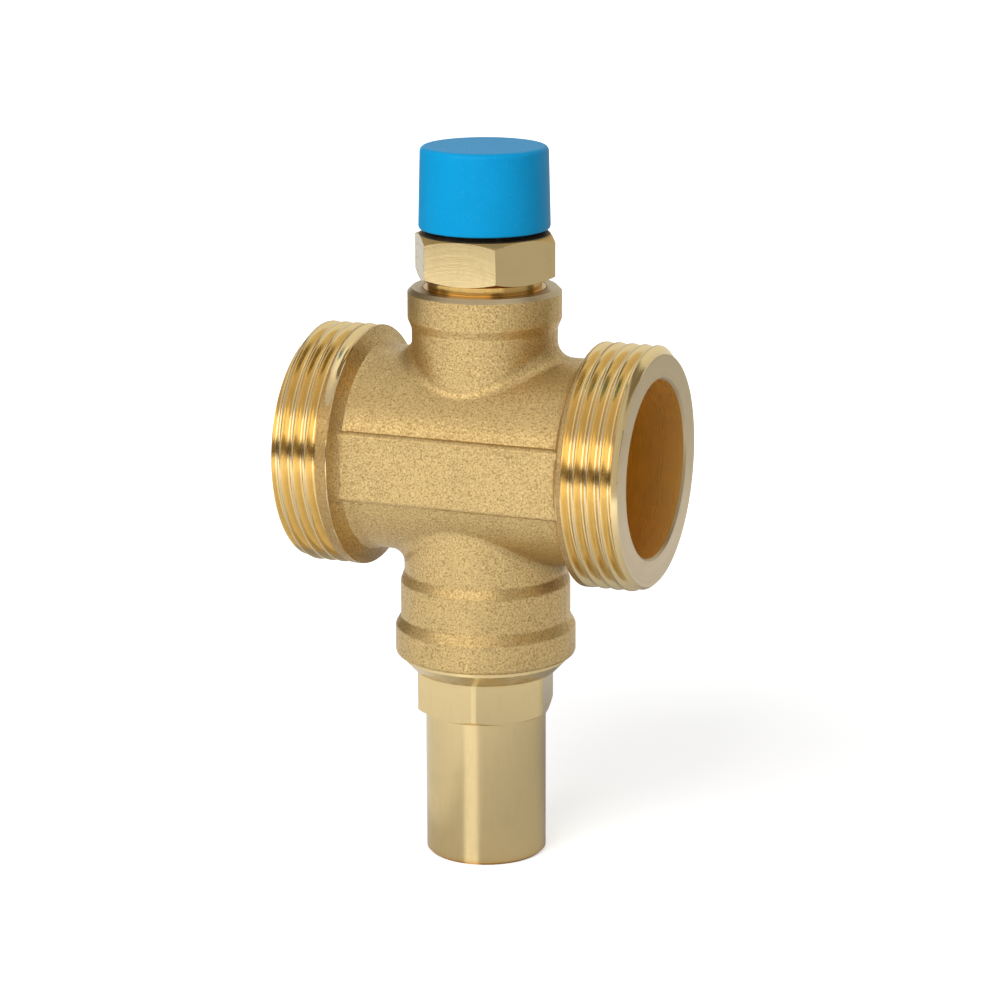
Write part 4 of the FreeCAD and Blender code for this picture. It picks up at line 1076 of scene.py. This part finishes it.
# Reflection cards: name, azimuths and elevations in degrees, distance in metres, colour.
CARDS = (
    ("horizon_card", (-80, 58), (-6, 9), 0.5, (0.09, 0.06, 0.025)),
    ("bright_card", (-54, 34), (10, 32), 0.5, (2.1, 2.0, 1.85)),
    ("bright_left_card", (-80, -54), (10, 32), 0.5, (0.5, 0.46, 0.4)),
    ("bright_right_card", (34, 58), (10, 32), 0.5, (0.3, 0.26, 0.2)),
    ("upper_card", (-80, 58), (32, 56), 0.5, (0.75, 0.72, 0.68)),
    ("overhead_card", (-80, 58), (56, 75), 0.5, (0.85, 0.8, 0.72)),
    ("right_card", (58, 114), (-14, 60), 0.25, (0.56, 0.54, 0.5)),
    ("far_right_card", (114, 136), (-14, 60), 0.25, (0.2, 0.17, 0.12)),
    ("back_card", (136, 206), (-14, 60), 0.25, (0.79, 0.77, 0.68)),
    ("left_card", (-154, -134), (-14, 60), 0.25, (0.85, 0.88, 0.9)),
    ("near_left_card", (-134, -84), (-14, 60), 0.25, (0.2, 0.17, 0.12)),
)


class VALVE_OT_stage(bpy.types.Operator):
    """Camera, floor, lamps and reflection cards"""

    bl_idname = "valve.stage"
    bl_label = "Studio"

    def execute(self, context):
        studio = context.scene.valve_studio
        context.scene.view_settings.view_transform = "Standard"
        add_camera(studio)
        add_world(studio)
        add_floor()
        add_lamp(
            "key", azimuth=-11, elevation=36, distance=0.65, width=0.5, height=0.4,
            power=studio.key_power,
        )
        add_lamp(
            "fill", azimuth=44, elevation=14, distance=0.7, width=0.5, height=0.5,
            power=studio.fill_power,
        )
        for card in CARDS:
            add_card(*card)
        return {"FINISHED"}


class VALVE_PT_sidebar(bpy.types.Panel):
    """Sizes, finishes and pieces of the valve"""

    bl_idname = "VALVE_PT_sidebar"
    bl_label = "Anti-freeze valve"
    bl_space_type = "VIEW_3D"
    bl_region_type = "UI"
    bl_category = "Valve"

    def draw(self, context):
        for group in GROUPS:
            values = getattr(context.scene, group)
            column = self.layout.box().column()
            for name in values.__annotations__:
                column.prop(values, name)
        for operator in OPERATORS:
            self.layout.operator(operator.bl_idname)


GROUPS = {
    "valve_thread": ValveThread,
    "valve_springs": ValveSprings,
    "valve_finish": ValveFinish,
    "valve_studio": ValveStudio,
}
OPERATORS = (
    VALVE_OT_stage, VALVE_OT_body, VALVE_OT_plug, VALVE_OT_cap, VALVE_OT_insert, VALVE_OT_springs,
    VALVE_OT_inner,
)


def register():
    """Register the classes and hang the property groups on the scene."""
    for each in (*GROUPS.values(), *OPERATORS, VALVE_PT_sidebar):
        bpy.utils.register_class(each)
    for name, group in GROUPS.items():
        setattr(bpy.types.Scene, name, PointerProperty(type=group))


def unregister():
    """Undo register."""
    for name in GROUPS:
        delattr(bpy.types.Scene, name)
    for each in (VALVE_PT_sidebar, *reversed(OPERATORS), *reversed(GROUPS.values())):
        bpy.utils.unregister_class(each)


def main():
    register()
    for operator in OPERATORS:
        module, name = operator.bl_idname.split(".")
        getattr(getattr(bpy.ops, module), name)()


if __name__ == "__main__":
    main()
